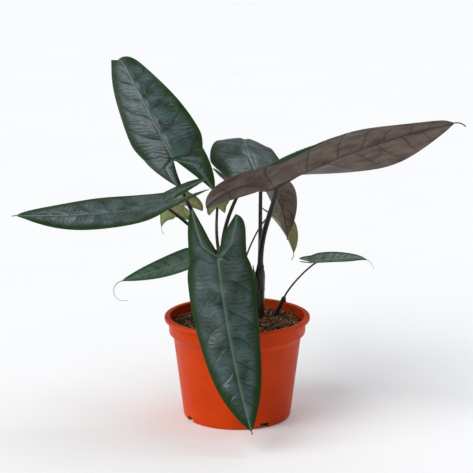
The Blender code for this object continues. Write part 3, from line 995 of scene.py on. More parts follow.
    def shell(self, points: Array, quads: Array, values: dict[str, Array]) -> None:
        """Turns the sheet into a closed shell with its relief, and hands it over.

        The upper face is the sheet plus its normal times half the thickness and the relief; the
        lower face follows it and carries the midrib as a rounded ridge.

        Args:
            points: Points of the sheet.
            quads: Faces of the sheet.
            values: Distances, heights and masks at the points.
        """
        normal = point_normals(points, quads)
        size = self.width / GROWN_WIDTH
        thin = 0.30 + 0.70 * smooth(values["rise"], 0.0, 0.25)
        half = self.SHEET / 2.0 * thin * min(1.0, 0.55 + 0.45 * size)
        wave = self.WAVE * size * np.sin(values["u"] / (17 * MM * (0.5 + 0.5 * size)) + self.seed)
        wave = wave * (1.0 - values["rise"]) ** 3 * smooth(values["u"] + 0.5 * self.length, 0.0, self.length)
        s = np.clip(values["u"] / self.length, 0.0, 1.0)
        end = 1.0 - smooth(values["u"], 0.94 * self.length, 1.0 * self.length)
        height = (values["height"] + wave) * end
        ridge = self.thick[1] * (1.15 - 0.85 * s) * bell(values["x"], 1.25 * self.thick[1] * (1.15 - 0.7 * s))
        ridge = ridge * end * smooth(values["u"], -0.5 * self.lobes[0], 0.0)
        upper = points + normal * (height + half)[:, None]
        lower = points + normal * (height - half - ridge)[:, None]
        faces = shell_faces(quads, len(points))
        under = np.ones(len(faces))
        under[:len(quads)] = 0.0
        both = {key: np.tile(values[key], 2) for key in ("groove", "midrib", "margin", "ripple")}
        uv = np.tile(np.stack([values["u"], values["v"]], -1), (2, 1))
        piece = new_piece(f"{self.name}_leaf", np.vstack([upper, lower]), faces, LEAF_MATERIALS[self.age],
                          under, both, uv)
        hand_over(piece, "leaf_pale" if self.age is Age.PALE else "leaf_dark", f"{self.name}_blade")

    def build_stalk(self, finish: Material) -> None:
        """The petiole: a cubic curve from its stem to the base of the midrib, then under it.

        Its radius falls from foot to blade, swells where it leaves the stem and fades out as the
        midrib's ridge.

        Args:
            finish: The skin.
        """
        shift = offset_to(f"{self.name}_blade", self.plain_box())
        forward, _, up = directions(np.array([self.heading]), np.array([self.pitch]), np.array([self.roll]))
        clear = self.STALK_CLEAR * self.width / GROWN_WIDTH
        seat = shift - up[0] * (clear + self.thick[1]) + forward[0] * 2 * MM
        low, high = node_box(self.stem)
        start, _ = node_box(f"{self.name}_petiole")
        lean = next(stem.lean for stem in STEMS if stem.name == self.stem)
        foot = np.array([(low[0] + high[0] + lean[0]) / 2.0 + self.foot[0],
                         (low[1] + high[1] + lean[1]) / 2.0 + self.foot[1], start[2]])
        path = cubic(foot, foot + np.array(self.rise), seat + np.array(self.arrive), seat, 70)
        along, heading, pitch, roll = self.midrib(np.linspace(3 * MM, 0.14 * self.length, 16))
        _, _, above = directions(heading, pitch, roll)
        fade = np.linspace(self.thick[1], 0.35 * self.thick[1], 16)
        tail = shift + along - above * (clear + fade)[:, None]
        root = np.linspace(-self.ROOTED, 0.0, 10, endpoint=False)[:, None] * np.array([0.0, 0.0, 1.0])
        radii = np.concatenate([np.full(10, self.thick[0]), np.linspace(*self.thick, 70), fade])
        share = np.linspace(0.0, 1.0, len(radii))
        radii = radii * (1.0 + 0.35 * bell(share, 0.05) + 0.10 * bell(share - 0.80, 0.05))
        path = np.vstack([foot + root, path, tail])
        sides = 20
        turn = circle(sides)
        flute = 1.0 + 0.03 * np.sin(5.0 * turn + self.seed)[None] + 0.02 * np.sin(9.0 * turn)[None]
        points, quads, uv = tube_points(path, radii[:, None] * flute, sides)
        drawn = np.concatenate([[0.0], share, [1.0]])
        values = {"along": np.repeat(smooth(drawn, 0.72, 1.0) * 0.75, sides)}
        piece = new_piece(f"{self.name}_stalk", points, quads, [finish], values=values, uv=uv)
        hand_over(piece, "petiole_skin", f"{self.name}_petiole")


BLADES = (
    Blade("left_upright", 127.5, 45.5, -14.5, 0.172, 0.082, roll=-13.5, swing=-13.5, bow=1.1,
          tip_curl=-85.0, lobes=(0.042, 0.045), spread=(0.0165, 0.0300), lobe_full=(1.6, 3.2),
          lobe_bend=(-10.0, 27.0), lobe_fold=(16.0, 11.0), fold=(15.0, 7.0), taper=1.5, widest=0.12,
          seed=11, foot=(-0.0055, 0.0010), rise=(-0.010, 0.004, 0.026), arrive=(0.008, -0.004, -0.040),
          thick=(0.0026, 0.0017)),
    Blade("left_long", 182.5, -21.5, 26.5, 0.1515, 0.068, roll=-6.0, twist=-26.0, swing=20.0,
          bow=0.39, lobes=(0.048, 0.046), spread=(0.0195, 0.0150), lobe_fold=(6.0, 7.5),
          fold=(5.0, 9.5), fold_change=(-15.0, -15.0), curl=(-8.0, -8.0), curl_fade=0.1, widest=0.15,
          tail=0.004, tail_bend=-20.0, seed=23, foot=(-0.0037, -0.0042), rise=(-0.010, -0.006, 0.020),
          arrive=(0.014, 0.008, -0.012), thick=(0.0020, 0.0014)),
    Blade("front_hanging", -51.0, -80.0, 14.5, 0.171, 0.070, roll=38.0, twist=-4.0, swing=2.0,
          lobes=(0.049, 0.048), spread=(0.0150, 0.0240), lobe_full=(3.6, 3.4),
          lobe_bend=(-30.0, -12.0), fold=(-6.0, -8.0), curl=(-34.0, -34.0), curl_fade=0.0, taper=2.7,
          widest=0.10, tail=0.003, tail_bend=0.0, seed=37, foot=(0.0046, -0.0031),
          rise=(-0.001, -0.010, 0.012), arrive=(0.000, 0.030, 0.004), thick=(0.0025, 0.0017)),
    Blade("right_long", -3.5, 28.5, -15.0, 0.192, 0.088, roll=-26.0, twist=-55.0, swing=-12.0,
          bow=0.9, lobes=(0.070, 0.067), spread=(0.0205, 0.0220), lobe_full=(2.2, 3.6),
          lobe_bend=(-82.0, 17.0), lobe_fold=(0.0, 50.0), fold=(30.0, 36.0),
          fold_change=(-55.0, -95.0), curl=(12.0, -120.0), curl_fade=0.88, curl_power=3.5, seed=41,
          stem="right_stem", foot=(0.0005, -0.0028), rise=(0.001, -0.004, 0.035),
          arrive=(-0.006, 0.006, -0.030), thick=(0.0030, 0.0024)),
    Blade("back_arching", 110.0, 34.0, -114.0, 0.190, 0.087, roll=6.0, swing=-55.0, bow=1.2,
          lobes=(0.034, 0.038), spread=(0.0300, 0.0180), lobe_bend=(-20.0, -10.0), taper=1.1,
          fold=(-12.0, -16.0), widest=0.12, seed=53, foot=(0.0051, 0.0024),
          rise=(0.001, 0.006, 0.034), arrive=(-0.014, -0.024, -0.016), thick=(0.0022, 0.0015)),
    Blade("right_hanging", 60.0, 10.0, -88.0, 0.100, 0.050, roll=5.0, bow=0.5, lobes=(0.026, 0.028),
          spread=(0.0100, 0.0120), fold=(18.0, 18.0), tail=0.004, seed=67, stem="right_stem",
          foot=(0.0000, 0.0028), rise=(0.001, 0.006, 0.030), arrive=(-0.001, -0.004, -0.025),
          thick=(0.0022, 0.0019)),
    Blade("left_low", 188.5, -19.0, 5.0, 0.081, 0.039, roll=-19.0, twist=-3.5, swing=-3.0,
          lobes=(0.018, 0.018), spread=(0.010, 0.010), tail=0.034, tail_bend=-185.0, seed=71,
          foot=(0.0005, -0.0056), rise=(-0.003, -0.008, 0.010), arrive=(0.004, 0.010, -0.002),
          thick=(0.0015, 0.0012), age=Age.YOUNG),
    Blade("right_small", 8.0, 6.0, -8.0, 0.059, 0.032, roll=3.0, twist=12.0, swing=3.0,
          tip_curl=-30.0, lobes=(0.015, 0.017), spread=(0.007, 0.007), lobe_bend=(-15.0, -15.0),
          lobe_fold=(0.0, 20.0), fold=(17.0, 12.0), tail_bend=-45.0, seed=83, stem="offset_stem",
          foot=(0.0008, 0.0002), rise=(0.008, 0.001, 0.014), arrive=(-0.010, 0.000, -0.007),
          thick=(0.0010, 0.0009), age=Age.YOUNG),
    Blade("left_pale", 145.0, 13.5, -100.0, 0.048, 0.036, roll=-50.0, twist=-22.0, swing=-15.0,
          bow=0.8, lobes=(0.024, 0.022), spread=(0.012, 0.006), lobe_bend=(-25.0, 20.0),
          fold=(0.0, 8.0), tail=0.008, seed=91, foot=(-0.0027, 0.0049),
          rise=(-0.006, 0.006, 0.016), arrive=(0.004, -0.006, -0.016), thick=(0.0013, 0.0009), age=Age.PALE),
    Blade("right_pale", 52.0, -30.0, -53.0, 0.066, 0.038, roll=1.5, swing=-17.0, bow=1.2,
          lobes=(0.014, 0.015), spread=(0.008, 0.008), fold=(18.0, 22.0), tail=0.008, seed=97,
          stem="back_stem", foot=(0.0000, 0.0005), rise=(0.006, 0.016, 0.030),
          arrive=(-0.012, -0.024, 0.000), thick=(0.0010, 0.0008), age=Age.PALE),
    Blade("middle_pale", 83.0, 25.0, -30.0, 0.046, 0.024, swing=-7.0, lobes=(0.0175, 0.0135),
          spread=(0.006, 0.010), tail=0.008, seed=103, foot=(0.0013, 0.0055),
          rise=(-0.003, 0.004, 0.018), arrive=(-0.001, -0.006, -0.016), thick=(0.0018, 0.0013), age=Age.PALE),
)

LEAF_MATERIALS: dict[Age, list[Material]] = {}


# ---------------------------------------------------------------- stems and bracts


@dataclass(frozen=True)
class Stem:
    """A stem of wrapped leaf bases: fluted, a little knobbed where old leaves came away.

    Above its shoulder, a share of its length, it narrows into the petioles that leave it.
    """

    name: str
    lean: Triple
    thick: Pair
    scars: int
    seed: int
    shoulder: float = 0.975

    def build(self, finish: Material) -> None:
        """A tube along the stem, ringed by scars and fluted lengthwise.

        Args:
            finish: The skin.
        """
        rows, sides = 120, 40
        share = np.linspace(0.0, 1.0, rows)
        radii = np.linspace(*self.thick, rows)
        line = share[:, None] * np.array(self.lean)
        plain, _, _ = tube_points(line, radii, sides)
        path = line + offset_to(self.name, plain)
        turn = circle(sides)
        scar = sum(bell(share - (i + 0.6) / (self.scars + 0.6), 0.012) for i in range(self.scars))
        bare = 1.0 + 0.07 * scar - 0.03 * np.cos(2.0 * PI * share * self.scars)
        flute = 1.0 + 0.045 * np.sin(3.0 * turn[None] + 5.0 * share[:, None] + self.seed)
        flute = flute + 0.03 * np.sin(7.0 * turn[None] + 2.0 * share[:, None])
        round_top = np.sqrt(1.0 - smooth(share, self.shoulder, 1.0)[:, None] ** 2 * 0.75)
        radii = (radii * bare)[:, None] * flute * round_top * 0.97
        points, quads, uv = tube_points(path, radii, sides)
        values = {"along": np.zeros(len(points))}
        piece = new_piece(f"{self.name}_skin", points, quads, [finish], values=values, uv=uv)
        hand_over(piece, "stem_skin", self.name)

    def clearing(self) -> Triple:
        """Where the stem leaves the soil, and the radius round it that stays free of chips."""
        low, high = node_box(self.name)
        share = (node_box("soil")[1][2] - low[2]) / (high[2] - low[2])
        lean = np.array(self.lean[:2])
        foot = np.where(lean >= 0.0, low[:2], high[:2]) + np.sign(lean) * self.thick[0]
        x, y = foot + share * lean
        return (x, y, self.thick[0] + 1.2 * MM)


STEMS = (
    Stem("main_stem", (-0.0005, -0.0010, 0.1140), (0.0066, 0.0082), 5, 1),
    Stem("right_stem", (0.0005, -0.0005, 0.1000), (0.0056, 0.0052), 3, 2, 0.84),
    Stem("offset_stem", (0.0230, 0.0008, 0.0490), (0.0026, 0.0022), 2, 3),
    Stem("back_stem", (0.0060, -0.0020, 0.0620), (0.0024, 0.0017), 2, 4),
)


@dataclass(frozen=True)
class Bract:
    """A pointed bract wrapped part of the way round a stem, ribbed lengthwise, its edge flared."""

    name: str
    radius: float
    flare: float
    height: float
    facing: float
    wrap: float

    def grid(self, rows: int, columns: int) -> Array:
        """The strip of a cone, whose width falls as (1 - h^2.2)^0.7 to a point.

        Args:
            rows: Rows upward.
            columns: Columns round the stem.

        Returns:
            Points of rows by columns by three.
        """
        up = np.linspace(0.0, 1.0, rows)[:, None]
        across = np.linspace(-0.5, 0.5, columns)[None]
        wrap = np.radians(self.wrap) * np.maximum((1.0 - up**2.2) ** 0.7, 0.05)
        angle = np.radians(self.facing) + across * wrap
        radius = self.radius + self.flare * up + 0.0 * angle
        return np.stack([radius * np.cos(angle), radius * np.sin(angle), self.height * up + 0.0 * angle], -1)

    def build(self, finish: Material) -> None:
        """The bract as a closed shell with ribs.

        Args:
            finish: The skin.
        """
        rows, columns = 70, 44
        plain = self.grid(9, 9)
        grid = self.grid(rows, columns) + offset_to(self.name, plain)
        quads = grid_quads(grid_index(rows, columns))
        points = grid.reshape(-1, 3)
        normal = point_normals(points, quads)
        across = np.tile(np.linspace(-1.0, 1.0, columns), rows)
        up = np.repeat(np.linspace(0.0, 1.0, rows), columns)
        edge = 1.0 - np.abs(across) ** 6
        ribs = 0.12 * MM * np.sin(across * 26.0) * edge
        thick = 0.32 * MM * (0.35 + 0.65 * edge)
        centre = points.mean(0)
        sign = np.sign(((points - centre) * normal).sum() + 1.0e-12)
        upper = points + normal * (sign * (thick + ribs))[:, None]
        lower = points + normal * (sign * (ribs - thick))[:, None]
        faces = shell_faces(quads if sign > 0 else quads[:, ::-1], len(points))
        uv = np.tile(np.stack([up * self.height, across * self.radius], -1), (2, 1))
        values = {"along": np.tile(smooth(up, 0.75, 1.0) * 0.8, 2)}
        piece = new_piece(f"{self.name}_bract", np.vstack([upper, lower]), faces, [finish],
                          values=values, uv=uv)
        hand_over(piece, "sheath_skin", self.name)


BRACTS = (
    Bract("crown_sheath", 0.0094, 0.0010, 0.046, 8.0, 76.0),
    Bract("crown_back_sheath", 0.0094, 0.0008, 0.036, 118.0, 80.0),
    Bract("right_sheath", 0.0064, 0.0006, 0.046, 185.0, 190.0),
)


# ---------------------------------------------------------------- pot and potting mix


def arc(centre: Pair, radius: float, start: float, end: float, count: int) -> Array:
    """Points of (radius, height) on an arc of a profile.

    Args:
        centre: Centre of the arc.
        radius: Its radius.
        start: First angle in degrees, from outward, upward.
        end: Last angle.
        count: Number of points.

    Returns:
        Points by two.
    """
    turn = np.radians(np.linspace(start, end, count))
    return np.stack([centre[0] + radius * np.cos(turn), centre[1] + radius * np.sin(turn)], -1)


def revolve(profile: Array, turns: int) -> tuple[Array, Array]:
    """Carries a profile of (radius, height) round the Z axis.

    Args:
        profile: Points by two.
        turns: Steps in the circle.

    Returns:
        Points and quads.
    """
    turn = circle(turns)
    points = np.stack([profile[:, :1] * np.cos(turn), profile[:, :1] * np.sin(turn),
                       profile[:, 1:] + 0.0 * turn], -1)
    return points.reshape(-1, 3), grid_quads(round_index(len(profile), turns), True)


@dataclass(frozen=True)
class Pot:
    """A moulded grower's pot: rolled lip, upright band, a step and a wall tapering to the foot."""

    wall: float = 1.6 * MM
    floor: float = 2.2 * MM
    lip_height: float = 4.2 * MM
    lip_overhang: float = 4.2 * MM
    band_height: float = 18.0 * MM
    band_step: float = 4.0 * MM
    band_rise: float = 3.6 * MM
    taper: float = 14.9 * MM
    slots: int = 4
    slot_first: float = -60.0
    slot_width: float = 10.5 * MM
    slot_height: float = 5.5 * MM
    slot_reach: float = 11.0 * MM
    slot_clear: float = 10.0 * MM
    turns: int = 192

    def foot_radius(self, rim: float) -> float:
        """Radius of the wall at the foot."""
        return rim - self.lip_overhang - self.band_step - self.taper + 3.2 * MM

    def profile(self, low: float, high: float, rim: float) -> Array:
        """The cut through the wall, from the middle of the floor inside round to the underside.

        Args:
            low: Height of the underside.
            high: Height of the rim.
            rim: Outer radius of the lip.

        Returns:
            Points of (radius, height).
        """
        band = rim - self.lip_overhang
        band_foot = high - self.band_height
        wall_top = band_foot - self.band_rise
        top = rim - self.lip_overhang - self.band_step - 1.0 * MM
        foot = self.foot_radius(rim)
        slope = (top - foot) / (wall_top - low)
        soft = 1.9 * MM
        bead = 1.3 * MM
        inner = [
            (0.0, low + self.floor), (foot * 0.5, low + self.floor),
            (foot - self.wall - 4 * MM, low + self.floor),
            (foot - self.wall - 1.6 * MM, low + self.floor + 0.6 * MM),
            (foot - self.wall, low + self.floor + 2.8 * MM),
            (foot + slope * 0.5 * (wall_top - low) - self.wall, low + 0.5 * (wall_top - low)),
            (top - self.wall, wall_top + 0.6 * MM), (top - self.wall + 1.2 * MM, wall_top + 1.6 * MM),
            (band - 1.6 * MM - self.wall, band_foot - 0.2 * MM),
            (band - 0.9 * MM - self.wall, band_foot + 1.2 * MM),
            (band - self.wall, high - self.lip_height), (band - self.wall, high - 1.0 * MM),
        ]
        outer = [
            (band + 0.1 * MM, high - self.lip_height + 0.1 * MM),
            (band - 0.1 * MM, high - self.lip_height - 0.9 * MM),
            (band - 0.55 * MM, band_foot + 1.2 * MM), (band - 0.75 * MM, band_foot + 0.4 * MM),
            (band - 1.35 * MM, band_foot - 0.25 * MM), (top + 0.9 * MM, wall_top + 0.7 * MM),
            (top + 0.25 * MM, wall_top - 0.2 * MM), (top - slope * 2 * MM, wall_top - 2 * MM),
            (foot + slope * 0.5 * (wall_top - low), low + 0.5 * (wall_top - low)),
            (foot + slope * 6 * MM, low + 6 * MM), (foot + slope * 3.0 * MM, low + 3.0 * MM),
        ]
        lip = np.vstack([
            arc((band - self.wall + 0.7 * MM, high - 0.7 * MM), 0.7 * MM, 180.0, 90.0, 6),
            arc((rim - bead, high - bead), bead, 90.0, 0.0, 9),
            arc((rim - 0.9 * MM, high - self.lip_height + 0.9 * MM), 0.9 * MM, 0.0, -90.0, 7),
        ])
        corner = arc((foot - soft, low + soft), soft, 0.0, -90.0, 7)
        under = np.array([(foot - 6 * MM, low), (foot - 7.5 * MM, low + 0.7 * MM), (9 * MM, low + 0.7 * MM),
                          (8 * MM, low + 0.3 * MM), (2 * MM, low + 0.3 * MM), (0.0, low + 0.35 * MM)])
        return np.vstack([np.array(inner), lip, np.array(outer), corner, under])

    def build(self, finish: Material) -> None:
        """The pot turned from its profile, with the drain slots cut through its bottom corner.

        Args:
            finish: The plastic.
        """
        start, end = node_box("pot")
        rim = (end[0] - start[0]) / 2.0
        points, quads = revolve(self.profile(start[2], end[2], rim), self.turns)
        radius = np.hypot(points[:, 0], points[:, 1])
        foot = self.foot_radius(rim)
        inner = radius < rim - self.lip_overhang - 1.2 * MM
        inside = (inner & (points[:, 2] > end[2] - 16 * MM)).astype(float)
        piece = new_piece("grower_pot", points, quads, [finish], values={"inside": inside})
        angles = np.radians(self.slot_first + 360.0 / self.slots * np.arange(self.slots))
        blocks = [self.slot_block(angle, foot, start[2]) for angle in angles]
        faces = [self.block_faces(i * 8) for i in range(self.slots)]
        cutter = new_piece("slot_cutter", np.vstack(blocks), np.vstack(faces), [finish])
        cut = piece.modifiers.new("slots", "BOOLEAN")
        cut.operation = "DIFFERENCE"
        cut.solver = "EXACT"
        cut.object = cutter
        seen = piece.evaluated_get(bpy.context.evaluated_depsgraph_get())
        mesh = bpy.data.meshes.new_from_object(seen)
        piece.modifiers.clear()
        piece.data = mesh
        bpy.data.objects.remove(cutter, do_unlink=True)
        mesh.shade_smooth()
        mesh.set_sharp_from_angle(angle=np.radians(38.0))
        hand_over(piece, "pot_plastic", "pot")

    def slot_block(self, angle: float, foot: float, low: float) -> Array:
        """Corners of the block that opens one drain slot, lying along a radius."""
        r0, r1 = foot - self.slot_reach, foot + self.slot_clear
        half = self.slot_width / 2.0
        corners = np.array([(r, y, z) for z in (low - self.slot_height, low + self.slot_height)
                            for r, y in ((r0, -half), (r1, -half), (r1, half), (r0, half))])
        turn = np.array([[np.cos(angle), -np.sin(angle), 0.0], [np.sin(angle), np.cos(angle), 0.0],
                         [0.0, 0.0, 1.0]])
        return corners @ turn.T

    @staticmethod
    def block_faces(first: int) -> Array:
        """Faces of a block whose corners start at a number, pointing outwards."""
        faces = [(3, 2, 1, 0), (4, 5, 6, 7), (0, 1, 5, 4), (1, 2, 6, 5), (2, 3, 7, 6), (3, 0, 4, 7)]
        return np.array(faces) + first


@dataclass(frozen=True)
class Bed:
    """What the loose pieces lie on: radius and top of the soil, how far out they reach, and rows
    of (x, y, radius) round the stems that they avoid."""

    radius: float
    top: float
    reach: float
    clear: Array


@dataclass(frozen=True)
class PottingMix:
    """The mix in the pot: a lumpy damp body with bark chips, coir fibres and perlite on it."""

    chips: int = 2300
    grains: int = 420
    fibres: int = 260
    lump: float = 1.5 * MM
    heap: float = 2.2 * MM
    sunk: float = 0.8 * MM
    foot_inset: float = 22.5 * MM
    margin: float = 2.5 * MM
    fibre_margin: float = 6 * MM
    seed: int = 7

    def height(self, x: Array, y: Array, radius: float, top: float) -> Array:
        """Height of the surface: a low heap plus noise at three sizes.

        Args:
            x: Across.
            y: Back.
            radius: Radius of the soil.
            top: Highest point of the packed soil.

        Returns:
            Heights.
        """
        r = np.hypot(x, y) / radius
        heap = top - self.heap * r**2
        rough = ripple_noise(x, y, 22 * MM, 3) + 0.7 * ripple_noise(x, y, 9 * MM, 4)
        rough = rough + 0.5 * ripple_noise(x, y, 4 * MM, 5, 20)
        return heap - self.sunk + self.lump * 0.6 * rough * (1.0 - 0.5 * r**6)

    def build(self, bodies: Sequence[Material], clear: Array) -> None:
        """The body and what lies loose on it.

        Args:
            bodies: The materials of the body, the chips, the grains and the fibres.
            clear: Rows of (x, y, radius) round the stems, which stay clear.
        """
        start, end = node_box("soil")
        radius, low, top = (end[0] - start[0]) / 2.0, start[2], end[2]
        pot_low, pot_high = node_box("pot")
        rings = np.linspace(0.0, 1.0, 90)
        turns = 240
        turn = circle(turns)
        r = (radius - 0.2 * MM) * rings[:, None] + 0.0 * turn
        x, y = r * np.cos(turn), r * np.sin(turn)
        upper = np.stack([x, y, self.height(x, y, radius, top)], -1)
        foot = (pot_high[0] - pot_low[0]) / 2.0 - self.foot_inset
        side_r = np.array([radius - 0.3 * MM, radius - 0.9 * MM, radius - 5.4 * MM, foot, 0.0])
        side_z = np.array([top - 6 * MM, pot_high[2] - 17 * MM, pot_high[2] - 22 * MM, low, low])
        wall = np.stack([side_r[:, None] * np.cos(turn), side_r[:, None] * np.sin(turn),
                         side_z[:, None] + 0.0 * turn], -1)
        points = np.concatenate([upper, wall])
        index = round_index(len(points), turns)
        flat = points.reshape(-1, 3)
        tone = 0.35 + 0.25 * ripple_noise(flat[:, 0], flat[:, 1], 5 * MM, 9)
        body = new_piece("potting_mix_body", flat, grid_quads(index), [bodies[0]], values={"tone": tone})
        hand_over(body, "potting_mix", "soil")
        rng = np.random.default_rng(self.seed)
        bed = Bed(radius, top, radius - self.margin, clear)
        self.scatter("bark_chips", self.chips, (1.0 * MM, 3.4 * MM), (0.45, 0.75), 0.3 * MM, rng, bed,
                     bodies[1])
        self.scatter("perlite_grains", self.grains, (0.6 * MM, 1.3 * MM), (0.75, 1.0), 0.5 * MM, rng, bed,
                     bodies[2])
        self.strew_fibres(rng, bed, bodies[3])

    @staticmethod
    def spots(count: int, rng: np.random.Generator, reach: float, clear: Array) -> Array:
        """Random spots in the pot that keep clear of the stems.

        Args:
            count: How many are drawn.
            rng: Random numbers.
            reach: Radius that they stay in.
            clear: Rows of (x, y, radius) that they avoid.

        Returns:
            Spots by two, fewer than drawn.
        """
        r = reach * np.sqrt(rng.uniform(0.0, 1.0, count))
        turn = rng.uniform(0.0, 2.0 * PI, count)
        spot = np.stack([r * np.cos(turn), r * np.sin(turn)], -1)
        gap = np.hypot(spot[:, None, 0] - clear[None, :, 0], spot[:, None, 1] - clear[None, :, 1])
        return spot[(gap > clear[None, :, 2]).all(1)]

    def scatter(self, name: str, count: int, sizes: Pair, flat: Pair, lift: float,
                rng: np.random.Generator, bed: Bed, finish: Material) -> None:
        """Lumps of 24 faces each: a cube's grid pushed to a ball, made uneven, stretched and turned.

        Args:
            name: Name of the piece.
            count: How many are drawn.
            sizes: Least and greatest half length.
            flat: Least and greatest share of it that the lump is thick.
            lift: How far a lump sits above the surface.
            rng: Random numbers.
            bed: What they lie on.
            finish: Their material.
        """
        spot = self.spots(count, rng, bed.reach, bed.clear)
        n = len(spot)
        ball, faces = self.lump_shape()
        size = sizes[0] + (sizes[1] - sizes[0]) * rng.uniform(0.0, 1.0, n) ** 2.2
        wide = size * rng.uniform(0.5, 0.95, n)
        stretch = np.stack([size, wide, size * rng.uniform(flat[0], flat[1], n) * 0.8], -1)
        uneven = 1.0 + rng.uniform(-0.28, 0.28, (n, len(ball)))
        local = ball[None] * uneven[..., None] * stretch[:, None]
        a, b = rng.uniform(0.0, 2.0 * PI, n), rng.normal(0.0, 0.45, n)
        ca, sa, cb, sb = np.cos(a), np.sin(a), np.cos(b), np.sin(b)
        x, y, z = local[..., 0], local[..., 1], local[..., 2]
        x, z = x * cb[:, None] - z * sb[:, None], x * sb[:, None] + z * cb[:, None]
        x, y = x * ca[:, None] - y * sa[:, None], x * sa[:, None] + y * ca[:, None]
        ground = self.height(spot[:, 0], spot[:, 1], bed.radius, bed.top)
        points = np.stack([x + spot[:, :1], y + spot[:, 1:], z + (ground + lift)[:, None]], -1)
        quads = (faces[None] + (np.arange(n) * len(ball))[:, None, None]).reshape(-1, 4)
        tone = np.repeat(rng.uniform(0.0, 0.85, n), len(ball))
        piece = new_piece(name, points.reshape(-1, 3), quads, [finish], values={"tone": tone})
        piece.data.set_sharp_from_angle(angle=np.radians(30.0))
        hand_over(piece, "potting_mix")

    @staticmethod
    def lump_shape() -> tuple[Array, Array]:
        """A ball of 26 points and 24 faces, from a cube with each side split in four."""
        axis = np.array([-1.0, 0.0, 1.0])
        grid = np.stack(np.meshgrid(axis, axis, axis, indexing="ij"), -1).reshape(-1, 3)
        number = np.arange(27).reshape(3, 3, 3)
        sides = [number[0], number[2].T, number[:, 0].T, number[:, 2], number[:, :, 0], number[:, :, 2].T]
        faces = np.concatenate([grid_quads(side, True) for side in sides])
        keep = np.unique(faces)
        place = np.zeros(27, dtype=int)
        place[keep] = np.arange(len(keep))
        ball = grid[keep] / np.linalg.norm(grid[keep], axis=1, keepdims=True)
        return ball, place[faces]

    def strew_fibres(self, rng: np.random.Generator, bed: Bed,
                     finish: Material) -> None:
        """Coir fibres: thin three-sided tubes along gentle arcs that lie on the surface.

        Args:
            rng: Random numbers.
            bed: What they lie on.
            finish: Their material.
        """
        spot = self.spots(self.fibres, rng, bed.reach - self.fibre_margin, bed.clear)
        n, rows, sides = len(spot), 7, 3
        length, turn = rng.uniform(4 * MM, 13 * MM, n), rng.uniform(0.0, 2.0 * PI, n)
        along = np.linspace(-0.5, 0.5, rows)[None] * length[:, None]
        side = rng.uniform(-0.06, 0.06, n)[:, None] * (along / MM) ** 2 * MM
        x = spot[:, :1] + along * np.cos(turn)[:, None] - side * np.sin(turn)[:, None]
        y = spot[:, 1:] + along * np.sin(turn)[:, None] + side * np.cos(turn)[:, None]
        far = np.hypot(x, y) / bed.reach
        x, y = x / np.maximum(far, 1.0), y / np.maximum(far, 1.0)
        z = self.height(x, y, bed.radius, bed.top) + rng.uniform(0.5 * MM, 1.5 * MM, n)[:, None]
        ring = circle(sides)
        thin = 1.0 - 0.9 * np.linspace(-1.0, 1.0, rows) ** 4
        thick = rng.uniform(0.15 * MM, 0.30 * MM, n)[:, None, None] * thin[None, :, None]
        px = x[..., None] - thick * np.cos(ring) * np.sin(turn)[:, None, None]
        py = y[..., None] + thick * np.cos(ring) * np.cos(turn)[:, None, None]
        points = np.stack([px, py, z[..., None] + thick * np.sin(ring)], -1)
        first = (np.arange(n) * rows * sides)[:, None, None]
        quads = (grid_quads(round_index(rows, sides))[None] + first).reshape(-1, 4)
        tone = np.repeat(rng.uniform(0.1, 0.9, n), rows * sides)
        piece = new_piece("coir_fibres", points.reshape(-1, 3), quads, [finish], values={"tone": tone})
        hand_over(piece, "potting_mix")


# ---------------------------------------------------------------- studio


@dataclass(frozen=True)
class Lamp:
    """Wide soft light from far off: the way to it, how wide it looks in degrees and its strength."""

    name: str
    towards: Triple
    width: float
    strength: float
    colour: str = "#ffffff"

    def build(self) -> None:
        """Hangs the lamp."""
        data = bpy.data.lights.new(self.name, "SUN")
        data.angle = np.radians(self.width)
        data.energy = self.strength
        data.color = linear(self.colour)[:3]
        lamp = bpy.data.objects.new(self.name, data)
        bpy.context.scene.collection.objects.link(lamp)
        x, y, z = self.towards
        lamp.rotation_euler = (np.arctan2(np.hypot(x, y), z), 0.0, np.arctan2(x, -y))


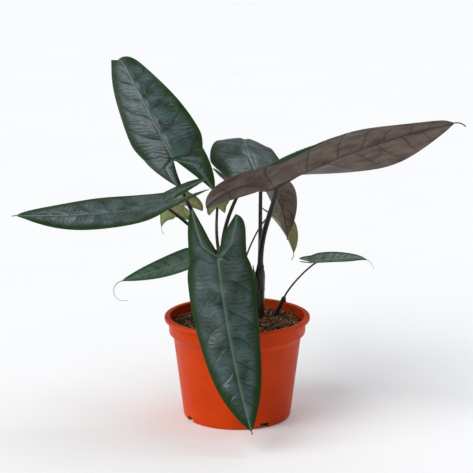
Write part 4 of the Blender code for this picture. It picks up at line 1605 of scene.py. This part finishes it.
@dataclass(frozen=True)
class Studio:
    """A plain pale floor, soft light and the camera."""

    floor_size: float = 40.0
    camera_place: Triple = (0.0, -1.5834, 0.5352)
    camera_pitch: float = 77.762
    camera_yaw: float = 0.026
    lens: float = 118.9
    film: float = 36.0
    sky: float = 0.34
    lamps: tuple[Lamp, ...] = (
        Lamp("key_left", (-1.7, -1.2, 1.6), 50.0, 2.25),
        Lamp("overhead", (0.35, 0.35, 1.0), 40.0, 0.95, "#f0f6ff"),
    )

    def build(self) -> None:
        """Sets up the floor, the light and the camera."""
        scene = bpy.context.scene
        scene.view_settings.view_transform = "Standard"
        half = self.floor_size / 2.0
        points = np.array([(-half, -half, 0.0), (half, -half, 0.0), (half, half, 0.0), (-half, half, 0.0)])
        floor = new_piece("studio_floor", points, np.array([[0, 1, 2, 3]]), [self.floor_material()])
        world = bpy.data.worlds.new("soft_white_room")
        world.use_nodes = True
        background = world.node_tree.nodes["Background"]
        background.inputs["Color"].default_value = (1.0, 1.0, 1.0, 1.0)
        background.inputs["Strength"].default_value = self.sky
        scene.world = world
        for lamp in self.lamps:
            lamp.build()
        data = bpy.data.cameras.new("camera")
        data.lens = self.lens
        data.sensor_width = self.film
        data.clip_end = 100.0
        camera = bpy.data.objects.new("camera", data)
        scene.collection.objects.link(camera)
        camera.location = self.camera_place
        camera.rotation_euler = (np.radians(self.camera_pitch), 0.0, np.radians(self.camera_yaw))
        scene.camera = camera

    @staticmethod
    def floor_material() -> Material:
        """Matt white studio paper, faintly uneven."""
        paper = Surface("matt_white_paper", 1.45, 0.9, "#f8f8f7")
        paper.paint(paper.noise(0.4), "#fdfdfd")
        return paper.finish()


def main() -> None:
    """Builds every piece in order."""
    logging.basicConfig(level=logging.INFO, format="%(message)s")
    for age, finish in LEAF_FINISHES.items():
        LEAF_MATERIALS[age] = [finish.upper(), finish.lower()]
    dark_skin = PetioleFinish("waxy_dark_petiole_skin", "#130b08", "#2c1d17", "#3f2b24", 0.34).material()
    olive_skin = PetioleFinish("waxy_olive_petiole_skin", "#403e2b", "#66634a", "#6c6c48", 0.36).material()
    stem_skin = PetioleFinish("waxy_stem_skin", "#17110e", "#372c22", "#333120", 0.33).material()
    bract_skin = PetioleFinish("waxy_green_bract_skin", "#22311f", "#37492c", "#5b6b33", 0.34).material()
    Pot().build(PotFinish().material(node_box("pot")[0][2]))
    mixes = [
        MixFinish("damp_potting_mix", "#150c06", "#301c10", "#5e3e28", 3 * MM),
        MixFinish("composted_bark_chips", "#180d07", "#3e2415", "#8a5f3e", 2 * MM),
        MixFinish("expanded_perlite_grains", "#7a6244", "#a88e66", "#d8caa8", 1 * MM, 0.3 * MM, 0.8),
        MixFinish("coir_fibres", "#312010", "#603f26", "#976c42", 2 * MM, 0.1 * MM, 0.8),
    ]
    for stem in STEMS:
        stem.build(stem_skin)
    clear = np.array([stem.clearing() for stem in STEMS])
    PottingMix().build([mix.material() for mix in mixes], clear)
    for bract in BRACTS:
        bract.build(bract_skin)
    for blade in BLADES:
        blade.build_stalk(olive_skin if blade.age is Age.PALE else dark_skin)
        blade.build()
    Studio().build()
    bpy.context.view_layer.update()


if __name__ == "__main__":
    main()
